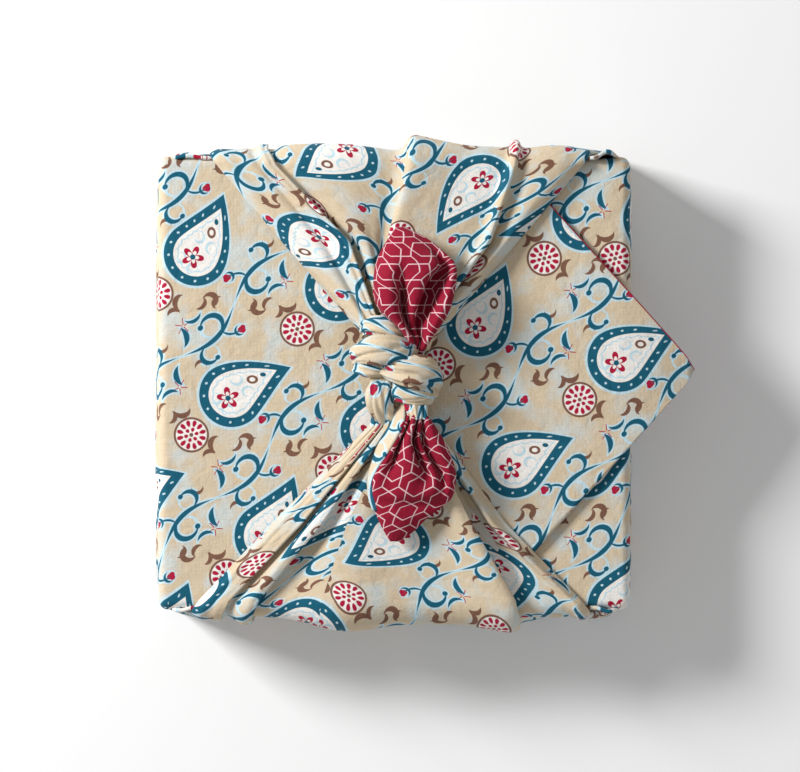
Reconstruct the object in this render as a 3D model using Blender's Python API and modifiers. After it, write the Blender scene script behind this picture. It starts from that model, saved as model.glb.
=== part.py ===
"""Furoshiki wrap on a flat gift box: one square cloth folded round the box and knotted on its top.

The origin is the centre of the flat underside, +Z is up, and sizes are metres. Tables are in millimetres.
"""

import math
from collections import namedtuple

import bmesh
import bpy
from mathutils import Vector

MM = 0.001

# Driving dimensions of the parcel
CLOTH_SIDE = 0.500  # the flat square of cloth
SHEET = 0.0012  # thickness of the doubled cotton
PARCEL_WIDTH = 0.190  # along X, over the cloth
PARCEL_HEIGHT = 0.043  # to the top of the over panel
WRAP_DEPTH = 0.1824  # along Y, over the cloth that turns each corner
GATHER_DEPTH = 0.1868  # along Y, over the gathered flaps' sides
BEND = 0.0036  # radius of the sheet's middle where it turns from base to side
LAYER_STEP = 0.0022  # from the under panel to the over panel
FLOAT_GAP = 0.0003  # between the box and the cloth that carries it

# Middle surfaces of the sheet
BASE_Z = SHEET / 2
SIDE_X = PARCEL_WIDTH / 2 - SHEET / 2
WRAP_Y = WRAP_DEPTH / 2 - SHEET / 2
GATHER_Y = GATHER_DEPTH / 2 - SHEET / 2
OVER_Z = PARCEL_HEIGHT - SHEET / 2
UNDER_Z = OVER_Z - LAYER_STEP
BASE_HALF_X = SIDE_X - BEND
BASE_HALF_Y = GATHER_Y - BEND
WALL_HALF_Y = WRAP_Y - BEND
PANEL_GAP = 0.0014  # from a panel's far and near edges to the cloth behind the gathered flaps
PANEL_HALF_Y = WRAP_Y - PANEL_GAP
PANEL_EDGE_SHARE = 0.03  # of a panel's depth, at each edge, that turns down
UNDER_EDGE_DROP = 0.0012
OVER_EDGE_DROP = 0.0004
UNDER_EDGE_INSET = 0.0040  # of the under panel's free edge, from the left bend
SIDE_BULGE = 0.0004

# The loose square corner of the over panel
FLAP_REACH = CLOTH_SIDE / math.sqrt(2) - PARCEL_WIDTH / 2 - PARCEL_HEIGHT
FLAP_TIP_X = FLAP_REACH - PARCEL_WIDTH / 2
FLAP_TIP_Y = 0.0054
FLAP_TIP_ROUND = 0.0022
FLAP_SLOPE = 1.10  # of its two hems, which meet at a little under a right angle
FLAP_DROOP = 0.0045
FLAP_DROOP_POWER = 1.6

# The gathered flaps: where they start over the rim, and how far they rise to the knot
RIM_BEND = 0.0060
TENT_START_Y = GATHER_Y - RIM_BEND
TENT_START_Z = PARCEL_HEIGHT + SHEET
TENT_RISE = 0.0058
TENT_POWER = 1.6
RIM_Y = 0.0905
MID_Y = 0.0562
NECK_Y = 0.0170

# The plain box, which stands 2 mm clear of the sides of the cloth
BOX_SIZE = (0.1836, 0.1758, 0.0378)
BOX_EDGE = 0.0062

# Grid steps
ACROSS_STEPS = 8
GATHER_COLUMNS = 31
END_COLUMNS = 10
BAND_SIDES = 12
BEND_STEPS = 3
TENT_STEPS = 8
UNDER_STEPS = 6
OVER_STEPS = 14

Fold = namedtuple("Fold", "name base_x rim_x rim_lift mid_x mid_lift neck_x neck_lift")

# Far gathered flap, left to right: where each fold line stands at the base, rim, middle and neck, and how
# far it lifts off the flap's plain surface
FAR_FOLDS = (
    Fold("left edge", -90.8, -73.4, 0.0, -44.4, 0.2, -10.0, 0.6),
    Fold("left roll", -85.0, -70.4, 0.5, -41.4, 2.4, -8.4, 3.0),
    Fold("left panel", -64.0, -60.0, 0.8, -31.0, 3.2, -6.6, 4.6),
    Fold("left of groove", -55.0, -53.0, 2.6, -21.0, 3.2, -4.8, 5.2),
    Fold("left groove", -49.5, -48.2, 1.0, -16.7, 0.5, -3.2, 3.8),
    Fold("left ridge", -45.0, -43.0, 2.6, -13.2, 4.4, -1.6, 5.2),
    Fold("middle left", -18.0, -18.0, 3.0, -8.0, 3.4, 0.2, 5.6),
    Fold("middle groove", -3.0, -2.6, 0.6, -2.6, 2.0, 1.8, 4.2),
    Fold("middle ridge", 8.0, 8.6, 6.2, 2.6, 3.8, 3.4, 5.6),
    Fold("middle right", 28.0, 29.0, 2.2, 18.0, 3.0, 5.2, 5.4),
    Fold("slim ridge near", 43.0, 44.0, 1.8, 32.6, 2.0, 6.8, 4.2),
    Fold("slim ridge", 48.0, 48.6, 4.2, 36.6, 5.0, 8.4, 5.4),
    Fold("slim ridge far", 53.0, 52.6, 1.8, 39.8, 2.2, 10.0, 4.4),
    Fold("right panel", 64.0, 64.0, 2.0, 43.2, 2.8, 12.0, 4.6),
    Fold("right roll", 84.0, 74.6, 1.6, 45.8, 2.8, 13.4, 3.4),
    Fold("right edge", 90.8, 77.8, 0.2, 48.6, 0.2, 15.2, 0.6),
)

# Near gathered flap, left to right, with a pleat that folds back on itself at its right
NEAR_FOLDS = (
    Fold("left edge", -90.8, -81.0, 0.0, -48.8, 0.2, -9.6, 0.6),
    Fold("left roll", -85.0, -78.0, 1.4, -46.0, 2.4, -7.8, 3.2),
    Fold("left panel", -72.0, -71.5, 2.2, -40.5, 3.2, -5.8, 4.8),
    Fold("left groove", -66.0, -66.0, 1.2, -35.4, 0.8, -4.4, 4.0),
    Fold("tube", -60.0, -60.0, 3.8, -32.2, 5.0, -3.0, 5.4),
    Fold("right of tube", -54.5, -54.5, 1.4, -28.8, 1.2, -1.8, 4.4),
    Fold("wide panel", -38.0, -38.0, 2.6, -22.0, 3.4, -0.4, 5.4),
    Fold("upright pleat", -19.0, -19.5, 7.2, -14.4, 4.6, 1.0, 5.8),
    Fold("middle panel", 4.0, 5.0, 3.4, 0.0, 3.0, 3.0, 5.2),
    Fold("pleat near", 30.0, 32.0, 5.0, 20.0, 4.4, 6.0, 6.0),
    Fold("pleat over", 42.0, 46.5, 7.2, 28.4, 6.0, 9.0, 7.4),
    Fold("pleat edge", 48.0, 51.5, 5.7, 32.4, 4.7, 11.6, 6.0),
    Fold("pleat back", 54.0, 47.5, 4.2, 28.8, 3.2, 9.4, 4.6),
    Fold("pleat inner", 60.0, 44.0, 2.7, 25.2, 1.7, 7.2, 3.2),
    Fold("pleat under", 66.0, 49.0, 1.2, 29.6, 0.2, 9.8, 1.8),
    Fold("right panel", 74.0, 62.0, 1.6, 39.5, 1.2, 12.2, 1.4),
    Fold("right roll", 83.0, 73.5, 2.8, 44.8, 3.0, 14.4, 1.8),
    Fold("right edge", 90.8, 77.8, 0.3, 48.0, 0.3, 15.6, 0.4),
)

# How fast lifts and sideways moves grow between the base edge (0) and the rim (1)
LIFT_GROWS = (0.02, 0.40)
MOVE_GROWS = (0.30, 1.00)

Corner = namedtuple("Corner", "name side_x side_y top_z out run")

# Cloth that turns each upright corner: height of its top edge, how far that edge stands out, and its run
CORNERS = (
    Corner("far left", -1, 1, 42.6, 0.0, 36.0),
    Corner("far right", 1, 1, 42.2, 2.2, 34.0),
    Corner("near left", -1, -1, 42.4, 0.6, 30.0),
    Corner("near right", 1, -1, 41.8, 1.4, 34.0),
)
CORNER_COLUMNS = 6
STAND_SHARE = 0.20  # of the run, beside the upright corner, that may stand out
STAND_GROWS = (0.70, 1.00)  # of the height
CREST_GROWS = (0.75, 1.00)  # of the height
TUCK_GROWS = (0.05, 0.35)  # of the run
CORNER_FOOT_Z = 0.0026  # clear of the base's top face
CORNER_TUCK_Z = 0.0396  # under the bend of the gathered flap

SECTION_COLUMNS = "y left right floor_z left_lift valley valley_lift crest crest_lift right_lift"
Section = namedtuple("Section", SECTION_COLUMNS)

# Cupped far end, from the knot to its tip: edges, height, and the shares across where it dips and rises
FAR_END = (
    Section(11.0, 4.0, 12.0, 58.8, 1.5, 0.40, 0.0, 0.75, 1.2, 0.8),
    Section(16.0, 3.6, 14.8, 59.2, 2.5, 0.36, 0.0, 0.72, 2.2, 1.6),
    Section(21.0, 0.6, 18.8, 59.0, 3.8, 0.40, 0.0, 0.76, 3.6, 2.6),
    Section(27.0, -6.2, 21.8, 58.4, 5.0, 0.45, 0.0, 0.80, 4.6, 3.2),
    Section(35.0, -8.3, 23.9, 57.4, 5.4, 0.46, 0.2, 0.82, 4.6, 3.0),
    Section(42.0, -7.8, 24.6, 56.6, 4.8, 0.40, 0.8, 0.78, 3.8, 2.4),
    Section(48.0, -5.9, 21.8, 55.8, 3.6, 0.36, 1.2, 0.70, 2.8, 1.8),
    Section(53.0, -3.8, 15.2, 55.0, 2.4, 0.36, 1.2, 0.66, 1.8, 1.2),
    Section(57.0, -1.2, 9.4, 54.4, 1.4, 0.40, 1.0, 0.66, 1.2, 0.8),
    Section(60.0, 0.2, 4.0, 54.0, 0.8, 0.45, 0.8, 0.65, 0.8, 0.8),
)

# Cupped near end
NEAR_END = (
    Section(-14.0, 4.0, 12.0, 57.8, 1.0, 0.35, 0.2, 0.75, 1.4, 0.4),
    Section(-19.0, 3.2, 15.4, 58.6, 1.6, 0.32, 0.2, 0.70, 2.4, 0.8),
    Section(-25.0, -0.8, 19.3, 58.4, 2.4, 0.36, 0.0, 0.66, 3.0, 1.2),
    Section(-32.0, -5.2, 22.6, 57.6, 2.8, 0.48, 0.0, 0.76, 3.4, 1.0),
    Section(-39.0, -9.2, 24.2, 56.8, 2.6, 0.60, 0.2, 0.82, 3.2, 0.8),
    Section(-46.0, -9.9, 23.4, 56.0, 2.2, 0.62, 0.6, 0.82, 2.4, 0.6),
    Section(-51.0, -8.4, 19.4, 55.2, 1.8, 0.56, 0.8, 0.80, 1.8, 0.4),
    Section(-56.0, -6.6, 12.8, 54.2, 1.4, 0.50, 0.8, 0.76, 1.2, 0.4),
    Section(-61.0, -3.9, 7.6, 53.2, 1.0, 0.50, 0.8, 0.76, 1.0, 0.4),
    Section(-65.0, -1.2, 1.6, 52.4, 0.6, 0.50, 0.6, 0.76, 0.6, 0.4),
)

Step = namedtuple("Step", "x y z half_width half_thick")

# Bands of the knot: the middle of each, half its width and half its thickness
BANDS = {
    "main_loop": (
        Step(-3.0, 5.0, 51.0, 4.0, 3.0),
        Step(-10.0, 5.6, 51.4, 4.6, 3.0),
        Step(-17.0, 7.6, 55.6, 5.4, 3.0),
        Step(-13.6, 10.4, 61.4, 6.0, 3.0),
        Step(-5.0, 12.0, 62.8, 6.4, 3.0),
        Step(3.0, 11.6, 61.4, 6.0, 3.0),
        Step(8.0, 10.0, 57.0, 5.0, 3.0),
        Step(8.0, 8.6, 52.0, 4.0, 3.0),
    ),
    "right_wrap": (
        Step(-6.0, 4.0, 57.0, 3.4, 2.8),
        Step(-1.0, 3.2, 60.6, 4.6, 2.8),
        Step(6.0, 3.4, 62.4, 5.6, 2.8),
        Step(13.6, 2.8, 61.4, 6.0, 2.8),
        Step(18.0, 0.8, 56.4, 5.4, 2.8),
        Step(14.0, -0.6, 51.2, 4.6, 2.8),
        Step(7.0, -0.8, 50.2, 4.0, 2.8),
    ),
    "lower_band": (
        Step(-3.0, -3.0, 53.5, 3.6, 2.8),
        Step(1.5, -4.6, 58.0, 3.8, 2.8),
        Step(8.0, -5.6, 59.6, 4.2, 2.8),
        Step(14.0, -5.2, 56.6, 4.2, 2.8),
        Step(14.6, -4.0, 51.8, 3.8, 2.8),
    ),
    "near_strand": (
        Step(-3.0, 4.0, 53.0, 5.0, 3.0),
        Step(-4.2, -3.0, 56.2, 6.2, 3.2),
        Step(-4.8, -9.0, 55.8, 6.4, 3.2),
        Step(-4.0, -15.0, 53.8, 6.2, 3.2),
        Step(-2.0, -20.0, 51.6, 5.6, 2.6),
    ),
    "near_neck": (
        Step(5.0, 2.0, 54.0, 4.0, 2.6),
        Step(7.0, -8.0, 56.8, 5.0, 2.8),
        Step(7.8, -13.0, 58.0, 5.2, 2.4),
        Step(8.6, -17.0, 58.8, 4.8, 1.6),
    ),
    "far_strand": (
        Step(-1.0, 5.0, 54.5, 5.0, 3.0),
        Step(-3.4, 14.0, 56.0, 5.4, 3.2),
        Step(-4.6, 20.0, 54.6, 5.8, 3.0),
        Step(-4.0, 25.0, 52.4, 5.6, 2.4),
    ),
    "far_neck": (
        Step(3.0, 4.0, 56.5, 4.0, 2.6),
        Step(6.6, 9.0, 58.6, 4.4, 2.4),
        Step(8.4, 14.0, 59.6, 4.8, 1.8),
    ),
}
BANDS_ALONG_Y = ("near_strand", "near_neck", "far_strand", "far_neck")
KNOT_Y = 1.2  # the knot and its ends stand this far past the parcel's middle
CORE_MIDDLE = (1.0, 2.0 + KNOT_Y, 54.0)
CORE_RADII = (13.5, 13.0, 6.6)


def clear_scene():
    for old in list(bpy.data.objects):
        bpy.data.objects.remove(old, do_unlink=True)


def new_collection(name):
    made = bpy.data.collections.new(name)
    bpy.context.scene.collection.children.link(made)
    return made


def plain_material(name, colour, roughness):
    """A matt material from an sRGB hex colour."""
    made = bpy.data.materials.new(name)
    made.use_nodes = True
    shader = made.node_tree.nodes["Principled BSDF"]
    parts = [int(colour[i : i + 2], 16) / 255 for i in (1, 3, 5)]
    shader.inputs["Base Color"].default_value = (*[c**2.2 for c in parts], 1.0)
    shader.inputs["Roughness"].default_value = roughness
    shader.inputs["Metallic"].default_value = 0.0
    made.diffuse_color = (*parts, 1.0)
    return made


def smoothstep(low, high, value):
    share = min(max((value - low) / (high - low), 0.0), 1.0)
    return share * share * (3.0 - 2.0 * share)


def mix(a, b, share):
    return a + (b - a) * share


def spline(controls, share):
    """A point of the cubic B-spline over a list of tuples, from the first of them to the last."""
    spans = len(controls) - 1
    place = min(max(share, 0.0), 1.0) * spans
    index = min(int(place), spans - 1)
    t = place - index
    weights = (
        (1 - t) ** 3 / 6,
        (3 * t**3 - 6 * t**2 + 4) / 6,
        (-3 * t**3 + 3 * t**2 + 3 * t + 1) / 6,
        t**3 / 6,
    )
    first = [2 * a - b for a, b in zip(controls[0], controls[1])]
    last = [2 * a - b for a, b in zip(controls[-1], controls[-2])]
    padded = [first, *controls, last]
    near = padded[index : index + 4]
    return tuple(sum(w * p[k] for w, p in zip(weights, near)) for k in range(len(controls[0])))


def through(places, values, place):
    """Straight-line reading of a short table."""
    if place <= places[0]:
        return values[0]
    for i in range(1, len(places)):
        if place <= places[i]:
            return mix(values[i - 1], values[i], (place - places[i - 1]) / (places[i] - places[i - 1]))
    return values[-1]


def arc(centre_x, centre_z, radius, start, end, steps):
    """Points of an arc in the XZ plane, without its first point. Angles are in degrees from +X."""
    made = []
    for i in range(1, steps + 1):
        angle = math.radians(mix(start, end, i / steps))
        made.append((centre_x + radius * math.cos(angle), centre_z + radius * math.sin(angle)))
    return made


# The sleeve: under panel, right side, base, left side and over panel, one section run along Y


def under_panel_run():
    """From the under panel's free edge, near the left side, to where it turns down at the right."""
    start = -BASE_HALF_X + UNDER_EDGE_INSET
    return [(mix(start, BASE_HALF_X, i / UNDER_STEPS), UNDER_Z) for i in range(UNDER_STEPS + 1)]


def right_side_run():
    top = UNDER_Z - BEND
    down = arc(BASE_HALF_X, top, BEND, 90, 0, BEND_STEPS)
    bottom = BASE_Z + BEND
    middle = [(SIDE_X + SIDE_BULGE * math.sin(math.pi * s), mix(top, bottom, s)) for s in (0.35, 0.7)]
    turn = arc(BASE_HALF_X, bottom, BEND, 0, -60, 2)
    return down + middle + [(SIDE_X, bottom)] + turn


def left_side_run():
    top = OVER_Z - BEND
    bottom = BASE_Z + BEND
    turn = arc(-BASE_HALF_X, bottom, BEND, 270, 180, BEND_STEPS)
    middle = [(-SIDE_X - SIDE_BULGE * math.sin(math.pi * s), mix(bottom, top, s)) for s in (0.3, 0.65)]
    over = arc(-BASE_HALF_X, top, BEND, 180, 90, BEND_STEPS)
    return turn + middle + [(-SIDE_X, top)] + over


def over_panel_run():
    """From the left rim across the top and past the right side, where the loose corner hangs a little."""
    end = FLAP_TIP_X
    points = []
    for i in range(1, OVER_STEPS + 1):
        x = mix(-BASE_HALF_X, end, i / OVER_STEPS)
        past = max(0.0, x - BASE_HALF_X) / (end - BASE_HALF_X)
        points.append((x, OVER_Z - FLAP_DROOP * past**FLAP_DROOP_POWER))
    return points


def panel_reach_y(x):
    """Lowest and highest Y of the over panel at this X: full depth, then the square corner, rounded."""
    left = max(FLAP_TIP_X - x, 0.0) * FLAP_SLOPE
    reach = math.sqrt(left * left + 2 * FLAP_TIP_ROUND * left)
    return (
        max(-PANEL_HALF_Y, FLAP_TIP_Y - reach),
        min(PANEL_HALF_Y, FLAP_TIP_Y + reach),
    )


def add_row(mesh, points):
    return [mesh.verts.new(point) for point in points]


def fill_between(mesh, first, second):
    """Quads between two rows of corners that run in the same direction."""
    for corners in zip(first, first[1:], second[1:], second):
        mesh.faces.new(corners)


def wall_row(x, z):
    return [(x, mix(-WALL_HALF_Y, WALL_HALF_Y, j / ACROSS_STEPS), z) for j in range(ACROSS_STEPS + 1)]


def panel_shares():
    """Shares of a panel's depth where its columns stand, with a narrow strip at each edge."""
    steps = ACROSS_STEPS - 2
    return [0.0, *(mix(PANEL_EDGE_SHARE, 1 - PANEL_EDGE_SHARE, i / steps) for i in range(steps + 1)), 1.0]


def panel_row(x, z, low, high, drop):
    """A row of a panel, whose far and near edges turn down by the drop near the parcel's sides."""
    row = []
    for share in panel_shares():
        y = mix(low, high, share)
        turned = smoothstep(WALL_HALF_Y - MM, PANEL_HALF_Y, abs(y))
        row.append((x, y, z - drop * turned))
    return row


def build_sleeve(mesh, near_edge, far_edge):
    """The under panel, sides, base and over panel. The base shares its edges with the gathered flaps."""
    rows = []
    for x, z in under_panel_run():
        rows.append(add_row(mesh, panel_row(x, z, -PANEL_HALF_Y, PANEL_HALF_Y, UNDER_EDGE_DROP)))
    right = [add_row(mesh, wall_row(x, z)) for x, z in right_side_run()]
    base = []
    for near, far in zip(reversed(near_edge), reversed(far_edge)):
        inner = []
        for j in range(1, ACROSS_STEPS):
            inner.append(mesh.verts.new(near.co.lerp(far.co, j / ACROSS_STEPS)))
        base.append([near, *inner, far])
    left = [add_row(mesh, wall_row(x, z)) for x, z in left_side_run()]
    over = [add_row(mesh, panel_row(x, z, *panel_reach_y(x), OVER_EDGE_DROP)) for x, z in over_panel_run()]
    rows += right + base + left + over
    for first, second in zip(rows, rows[1:]):
        fill_between(mesh, second, first)
    return right, left


# The gathered flaps


def gather_rows():
    """Profile of a flap in its own plane: distance from the middle, height, outward direction and stage.

    The stage runs from 0 at the base edge to 1 at the rim, 2 at the middle of the top and 3 at the neck.
    """
    bottom = arc(BASE_HALF_Y, BASE_Z + BEND, BEND, 270, 360, BEND_STEPS)
    rows = [(BASE_HALF_Y, BASE_Z, (0.0, -1.0), 0.0)]
    for i, (out, z) in enumerate(bottom, 1):
        angle = math.radians(mix(270, 360, i / BEND_STEPS))
        rows.append((out, z, (math.cos(angle), math.sin(angle)), 0.0))
    low = BASE_Z + BEND
    high = TENT_START_Z - RIM_BEND
    for share in (0.3, 0.6, 1.0):
        rows.append((GATHER_Y, mix(low, high, share), (1.0, 0.0), 0.9 * share))
    for i, (out, z) in enumerate(arc(TENT_START_Y, high, RIM_BEND, 0, 90, BEND_STEPS), 1):
        angle = math.radians(90 * i / BEND_STEPS)
        stage = mix(0.9, stage_on_top(TENT_START_Y), i / BEND_STEPS)
        rows.append((out, z, (math.cos(angle), math.sin(angle)), stage))
    for i in range(1, TENT_STEPS + 1):
        out = mix(TENT_START_Y, NECK_Y, i / TENT_STEPS)
        rows.append((out, tent_height(out), (0.0, 1.0), stage_on_top(out)))
    return rows


def stage_on_top(out):
    return through((-RIM_Y, -MID_Y, -NECK_Y), (1.0, 2.0, 3.0), -out)


def tent_height(out):
    share = (TENT_START_Y - out) / (TENT_START_Y - NECK_Y)
    return TENT_START_Z + TENT_RISE * max(share, 0.0) ** TENT_POWER


def fold_place(fold, stage):
    """Sideways place and lift of a fold line at a stage, in millimetres."""
    if stage >= 1.0:
        places = (1.0, 2.0, 3.0)
        side = through(places, (fold.rim_x, fold.mid_x, fold.neck_x), stage)
        lift = through(places, (fold.rim_lift, fold.mid_lift, fold.neck_lift), stage)
        return side, lift
    side = mix(fold.base_x, fold.rim_x, smoothstep(*MOVE_GROWS, stage))
    return side, fold.rim_lift * smoothstep(*LIFT_GROWS, stage)


def build_gather(mesh, folds, side):
    """A flap on the far (side 1) or near (side -1) edge. Returns the row that the base shares."""
    rows = []
    for out, z, (toward, up), stage in gather_rows():
        controls = [fold_place(fold, stage) for fold in folds]
        row = []
        for i in range(GATHER_COLUMNS + 1):
            x, lift = spline(controls, i / GATHER_COLUMNS)
            lift = lift * MM
            row.append((x * MM, side * (out + toward * lift), z + up * lift))
        rows.append(add_row(mesh, row))
    for first, second in zip(rows, rows[1:]):
        if side > 0:
            fill_between(mesh, second, first)
        else:
            fill_between(mesh, first, second)
    return rows[0]


# The cloth that turns the upright corners, behind the gathered flaps


def build_corner(mesh, corner, wall):
    """Grows from the end of a side wall, round the corner and along behind the gathered flap."""
    rows = []
    end = -1 if corner.side_y > 0 else 0
    heights = [row[end].co.z for row in wall]
    low, high = min(heights), max(heights)
    for row in wall:
        start = row[end]
        grown = (start.co.z - low) / (high - low)
        inset = abs(start.co.x) - BASE_HALF_X
        raised = max(start.co.z, mix(CORNER_FOOT_Z, BASE_Z + BEND + MM, inset / BEND))
        standing = corner.out * MM * smoothstep(*STAND_GROWS, grown)
        points = [start]
        for i in range(1, 4):
            angle = math.radians(90 * i / 3)
            x = BASE_HALF_X + inset * math.cos(angle)
            y = WALL_HALF_Y + inset * math.sin(angle)
            top = mix(raised, corner.top_z * MM, smoothstep(*CREST_GROWS, grown))
            z = mix(start.co.z, top, i / 3)
            points.append(mesh.verts.new((corner.side_x * x, corner.side_y * y, z)))
        for i in range(1, CORNER_COLUMNS + 1):
            share = i / CORNER_COLUMNS
            x = BASE_HALF_X - corner.run * MM * share
            bulge = standing * math.sin(math.pi * min(share / STAND_SHARE, 1.0))
            crest = mix(corner.top_z * MM, CORNER_TUCK_Z, smoothstep(*TUCK_GROWS, share))
            z = mix(raised, crest, smoothstep(*CREST_GROWS, grown))
            y = WALL_HALF_Y + inset + bulge
            points.append(mesh.verts.new((corner.side_x * x, corner.side_y * y, z)))
        rows.append(points)
    for first, second in zip(rows, rows[1:]):
        if corner.side_x * corner.side_y > 0:
            fill_between(mesh, first, second)
        else:
            fill_between(mesh, second, first)


def build_cloth(collection, material):
    """The whole folded sheet, from its middle surface, thickened by Solidify and joined to the knot."""
    mesh = bmesh.new()
    far_edge = build_gather(mesh, FAR_FOLDS, 1)
    near_edge = build_gather(mesh, NEAR_FOLDS, -1)
    right, left = build_sleeve(mesh, near_edge, far_edge)
    right_wall = [row for row in right if row[0].co.z < UNDER_Z - BEND + 0.0001]
    left_wall = [row for row in left if row[0].co.z < OVER_Z - BEND + 0.0001]
    for corner in CORNERS:
        build_corner(mesh, corner, left_wall if corner.side_x < 0 else right_wall)
    bmesh.ops.recalc_face_normals(mesh, faces=mesh.faces)
    data = bpy.data.meshes.new("furoshiki_cloth")
    mesh.to_mesh(data)
    mesh.free()
    cloth = bpy.data.objects.new("furoshiki_cloth", data)
    collection.objects.link(cloth)
    data.materials.append(material)
    thick = cloth.modifiers.new("thickness", "SOLIDIFY")
    thick.thickness = SHEET
    thick.offset = 0.0
    thick.use_quality_normals = True
    return cloth


# The knot


def helper_object(name, mesh, collection):
    bmesh.ops.recalc_face_normals(mesh, faces=mesh.faces)
    data = bpy.data.meshes.new(name)
    mesh.to_mesh(data)
    mesh.free()
    made = bpy.data.objects.new(name, data)
    collection.objects.link(made)
    made.hide_render = True
    made.display_type = "WIRE"
    return made


def build_band(name, steps, collection):
    """A closed band of oval section that follows its table, wide across its run."""
    mesh = bmesh.new()
    wide = Vector((1, 0, 0)) if name in BANDS_ALONG_Y else Vector((0, 1, 0))
    spans = (len(steps) - 1) * 2
    rings = []
    for i in range(spans + 1):
        share = i / spans
        here = spline(steps, share)
        ahead = Vector(spline(steps, min(share + 0.02, 1.0))[:3])
        behind = Vector(spline(steps, max(share - 0.02, 0.0))[:3])
        run = (ahead - behind).normalized()
        across = (wide - run * wide.dot(run)).normalized()
        up = across.cross(run).normalized()
        middle = Vector(here[:3])
        ring = []
        for k in range(BAND_SIDES):
            angle = 2 * math.pi * k / BAND_SIDES
            offset = across * here[3] * math.cos(angle) + up * here[4] * math.sin(angle)
            ring.append(mesh.verts.new((middle + offset + Vector((0, KNOT_Y, 0))) * MM))
        rings.append(ring)
    for first, second in zip(rings, rings[1:]):
        for k in range(BAND_SIDES):
            after = (k + 1) % BAND_SIDES
            mesh.faces.new((first[k], first[after], second[after], second[k]))
    mesh.faces.new(list(reversed(rings[0])))
    mesh.faces.new(rings[-1])
    return helper_object(name, mesh, collection)


def build_end(name, sections, collection):
    """A cupped, pleated corner of the cloth, as a thin sheet."""
    mesh = bmesh.new()
    rows = []
    for s in sections:
        controls = (
            (s.left, s.left_lift),
            (mix(s.left, s.right, s.valley * 0.5), s.left_lift * 0.6 + s.valley_lift * 0.4),
            (mix(s.left, s.right, s.valley), s.valley_lift),
            (mix(s.left, s.right, (s.valley + s.crest) / 2), s.crest_lift * 0.6),
            (mix(s.left, s.right, s.crest), s.crest_lift),
            (s.right, s.right_lift),
        )
        row = []
        for i in range(END_COLUMNS + 1):
            x, lift = spline(controls, i / END_COLUMNS)
            row.append((x * MM, (s.y + KNOT_Y) * MM, (s.floor_z + lift) * MM))
        rows.append(add_row(mesh, row))
    for first, second in zip(rows, rows[1:]):
        fill_between(mesh, first, second)
    made = helper_object(name, mesh, collection)
    thick = made.modifiers.new("thickness", "SOLIDIFY")
    thick.thickness = SHEET
    thick.offset = 0.0
    return made


def build_core(collection):
    mesh = bmesh.new()
    bmesh.ops.create_uvsphere(mesh, u_segments=16, v_segments=8, radius=MM)
    for corner in mesh.verts:
        corner.co = Vector([c * r for c, r in zip(corner.co, CORE_RADII)]) + Vector(CORE_MIDDLE) * MM
    return helper_object("knot_core", mesh, collection)


def build_knot(collection):
    build_core(collection)
    for name, steps in BANDS.items():
        build_band(name, steps, collection)
    build_end("far_end", FAR_END, collection)
    build_end("near_end", NEAR_END, collection)


def join_knot(cloth, collection):
    join = cloth.modifiers.new("knot", "BOOLEAN")
    join.operation = "UNION"
    join.operand_type = "COLLECTION"
    join.collection = collection
    join.solver = "EXACT"


# The box inside


def build_box(collection, material):
    bpy.ops.mesh.primitive_cube_add(size=1.0)
    box = bpy.context.object
    box.name = "gift_box"
    box.data.name = "gift_box"
    for corner in box.data.vertices:
        corner.co = Vector([c * s for c, s in zip(corner.co, BOX_SIZE)])
    box.location = (0.0, 0.0, SHEET + FLOAT_GAP + BOX_SIZE[2] / 2)
    rounded = box.modifiers.new("edges", "BEVEL")
    rounded.width = BOX_EDGE
    rounded.segments = 3
    box.data.materials.append(material)
    for user in list(box.users_collection):
        user.objects.unlink(box)
    collection.objects.link(box)
    return box


def main():
    clear_scene()
    wrap = new_collection("furoshiki wrap")
    knot = new_collection("knot pieces")
    cotton = plain_material("printed cotton", "#DCC7A4", 0.85)
    board = plain_material("box board", "#E9E4DA", 0.7)
    cloth = build_cloth(wrap, cotton)
    build_knot(knot)
    join_knot(cloth, knot)
    build_box(wrap, board)


main()
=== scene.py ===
# %% [markdown]
# # A gift box in a furoshiki
# This lesson dresses a plain solid model of a wrapped parcel. The solid gives every size and place, and this
# file gives the looks: one square of printed cotton with its folds, its square knot and its two free ends.
# The first lines load the solid as a fixed frame that nothing here moves.

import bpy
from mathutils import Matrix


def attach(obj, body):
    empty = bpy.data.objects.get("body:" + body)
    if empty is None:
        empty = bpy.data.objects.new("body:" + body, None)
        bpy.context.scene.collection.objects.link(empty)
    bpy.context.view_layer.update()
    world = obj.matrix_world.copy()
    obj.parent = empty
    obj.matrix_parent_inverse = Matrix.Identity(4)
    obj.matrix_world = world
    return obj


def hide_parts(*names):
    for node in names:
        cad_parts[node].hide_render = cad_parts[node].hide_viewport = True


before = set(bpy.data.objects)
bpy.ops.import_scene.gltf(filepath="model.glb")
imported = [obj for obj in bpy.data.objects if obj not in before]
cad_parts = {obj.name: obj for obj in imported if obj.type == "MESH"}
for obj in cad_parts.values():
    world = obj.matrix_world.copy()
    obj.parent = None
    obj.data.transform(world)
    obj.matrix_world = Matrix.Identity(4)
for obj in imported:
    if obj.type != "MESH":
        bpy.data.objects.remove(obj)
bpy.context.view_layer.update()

import ast
import math

import bmesh
import bpy
import numpy as np
from mathutils import Vector, noise

MM = 0.001
scene = bpy.context.scene

# %% [markdown]
# ## The sizes of the parcel
# A furoshiki is a square of cloth. This one is 500 mm a side, and the box stands on it turned by an eighth, so
# that each corner of the cloth comes up over one side of the box. The sheet is described by its middle surface:
# the heights and distances below are where that surface runs on the solid.

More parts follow.
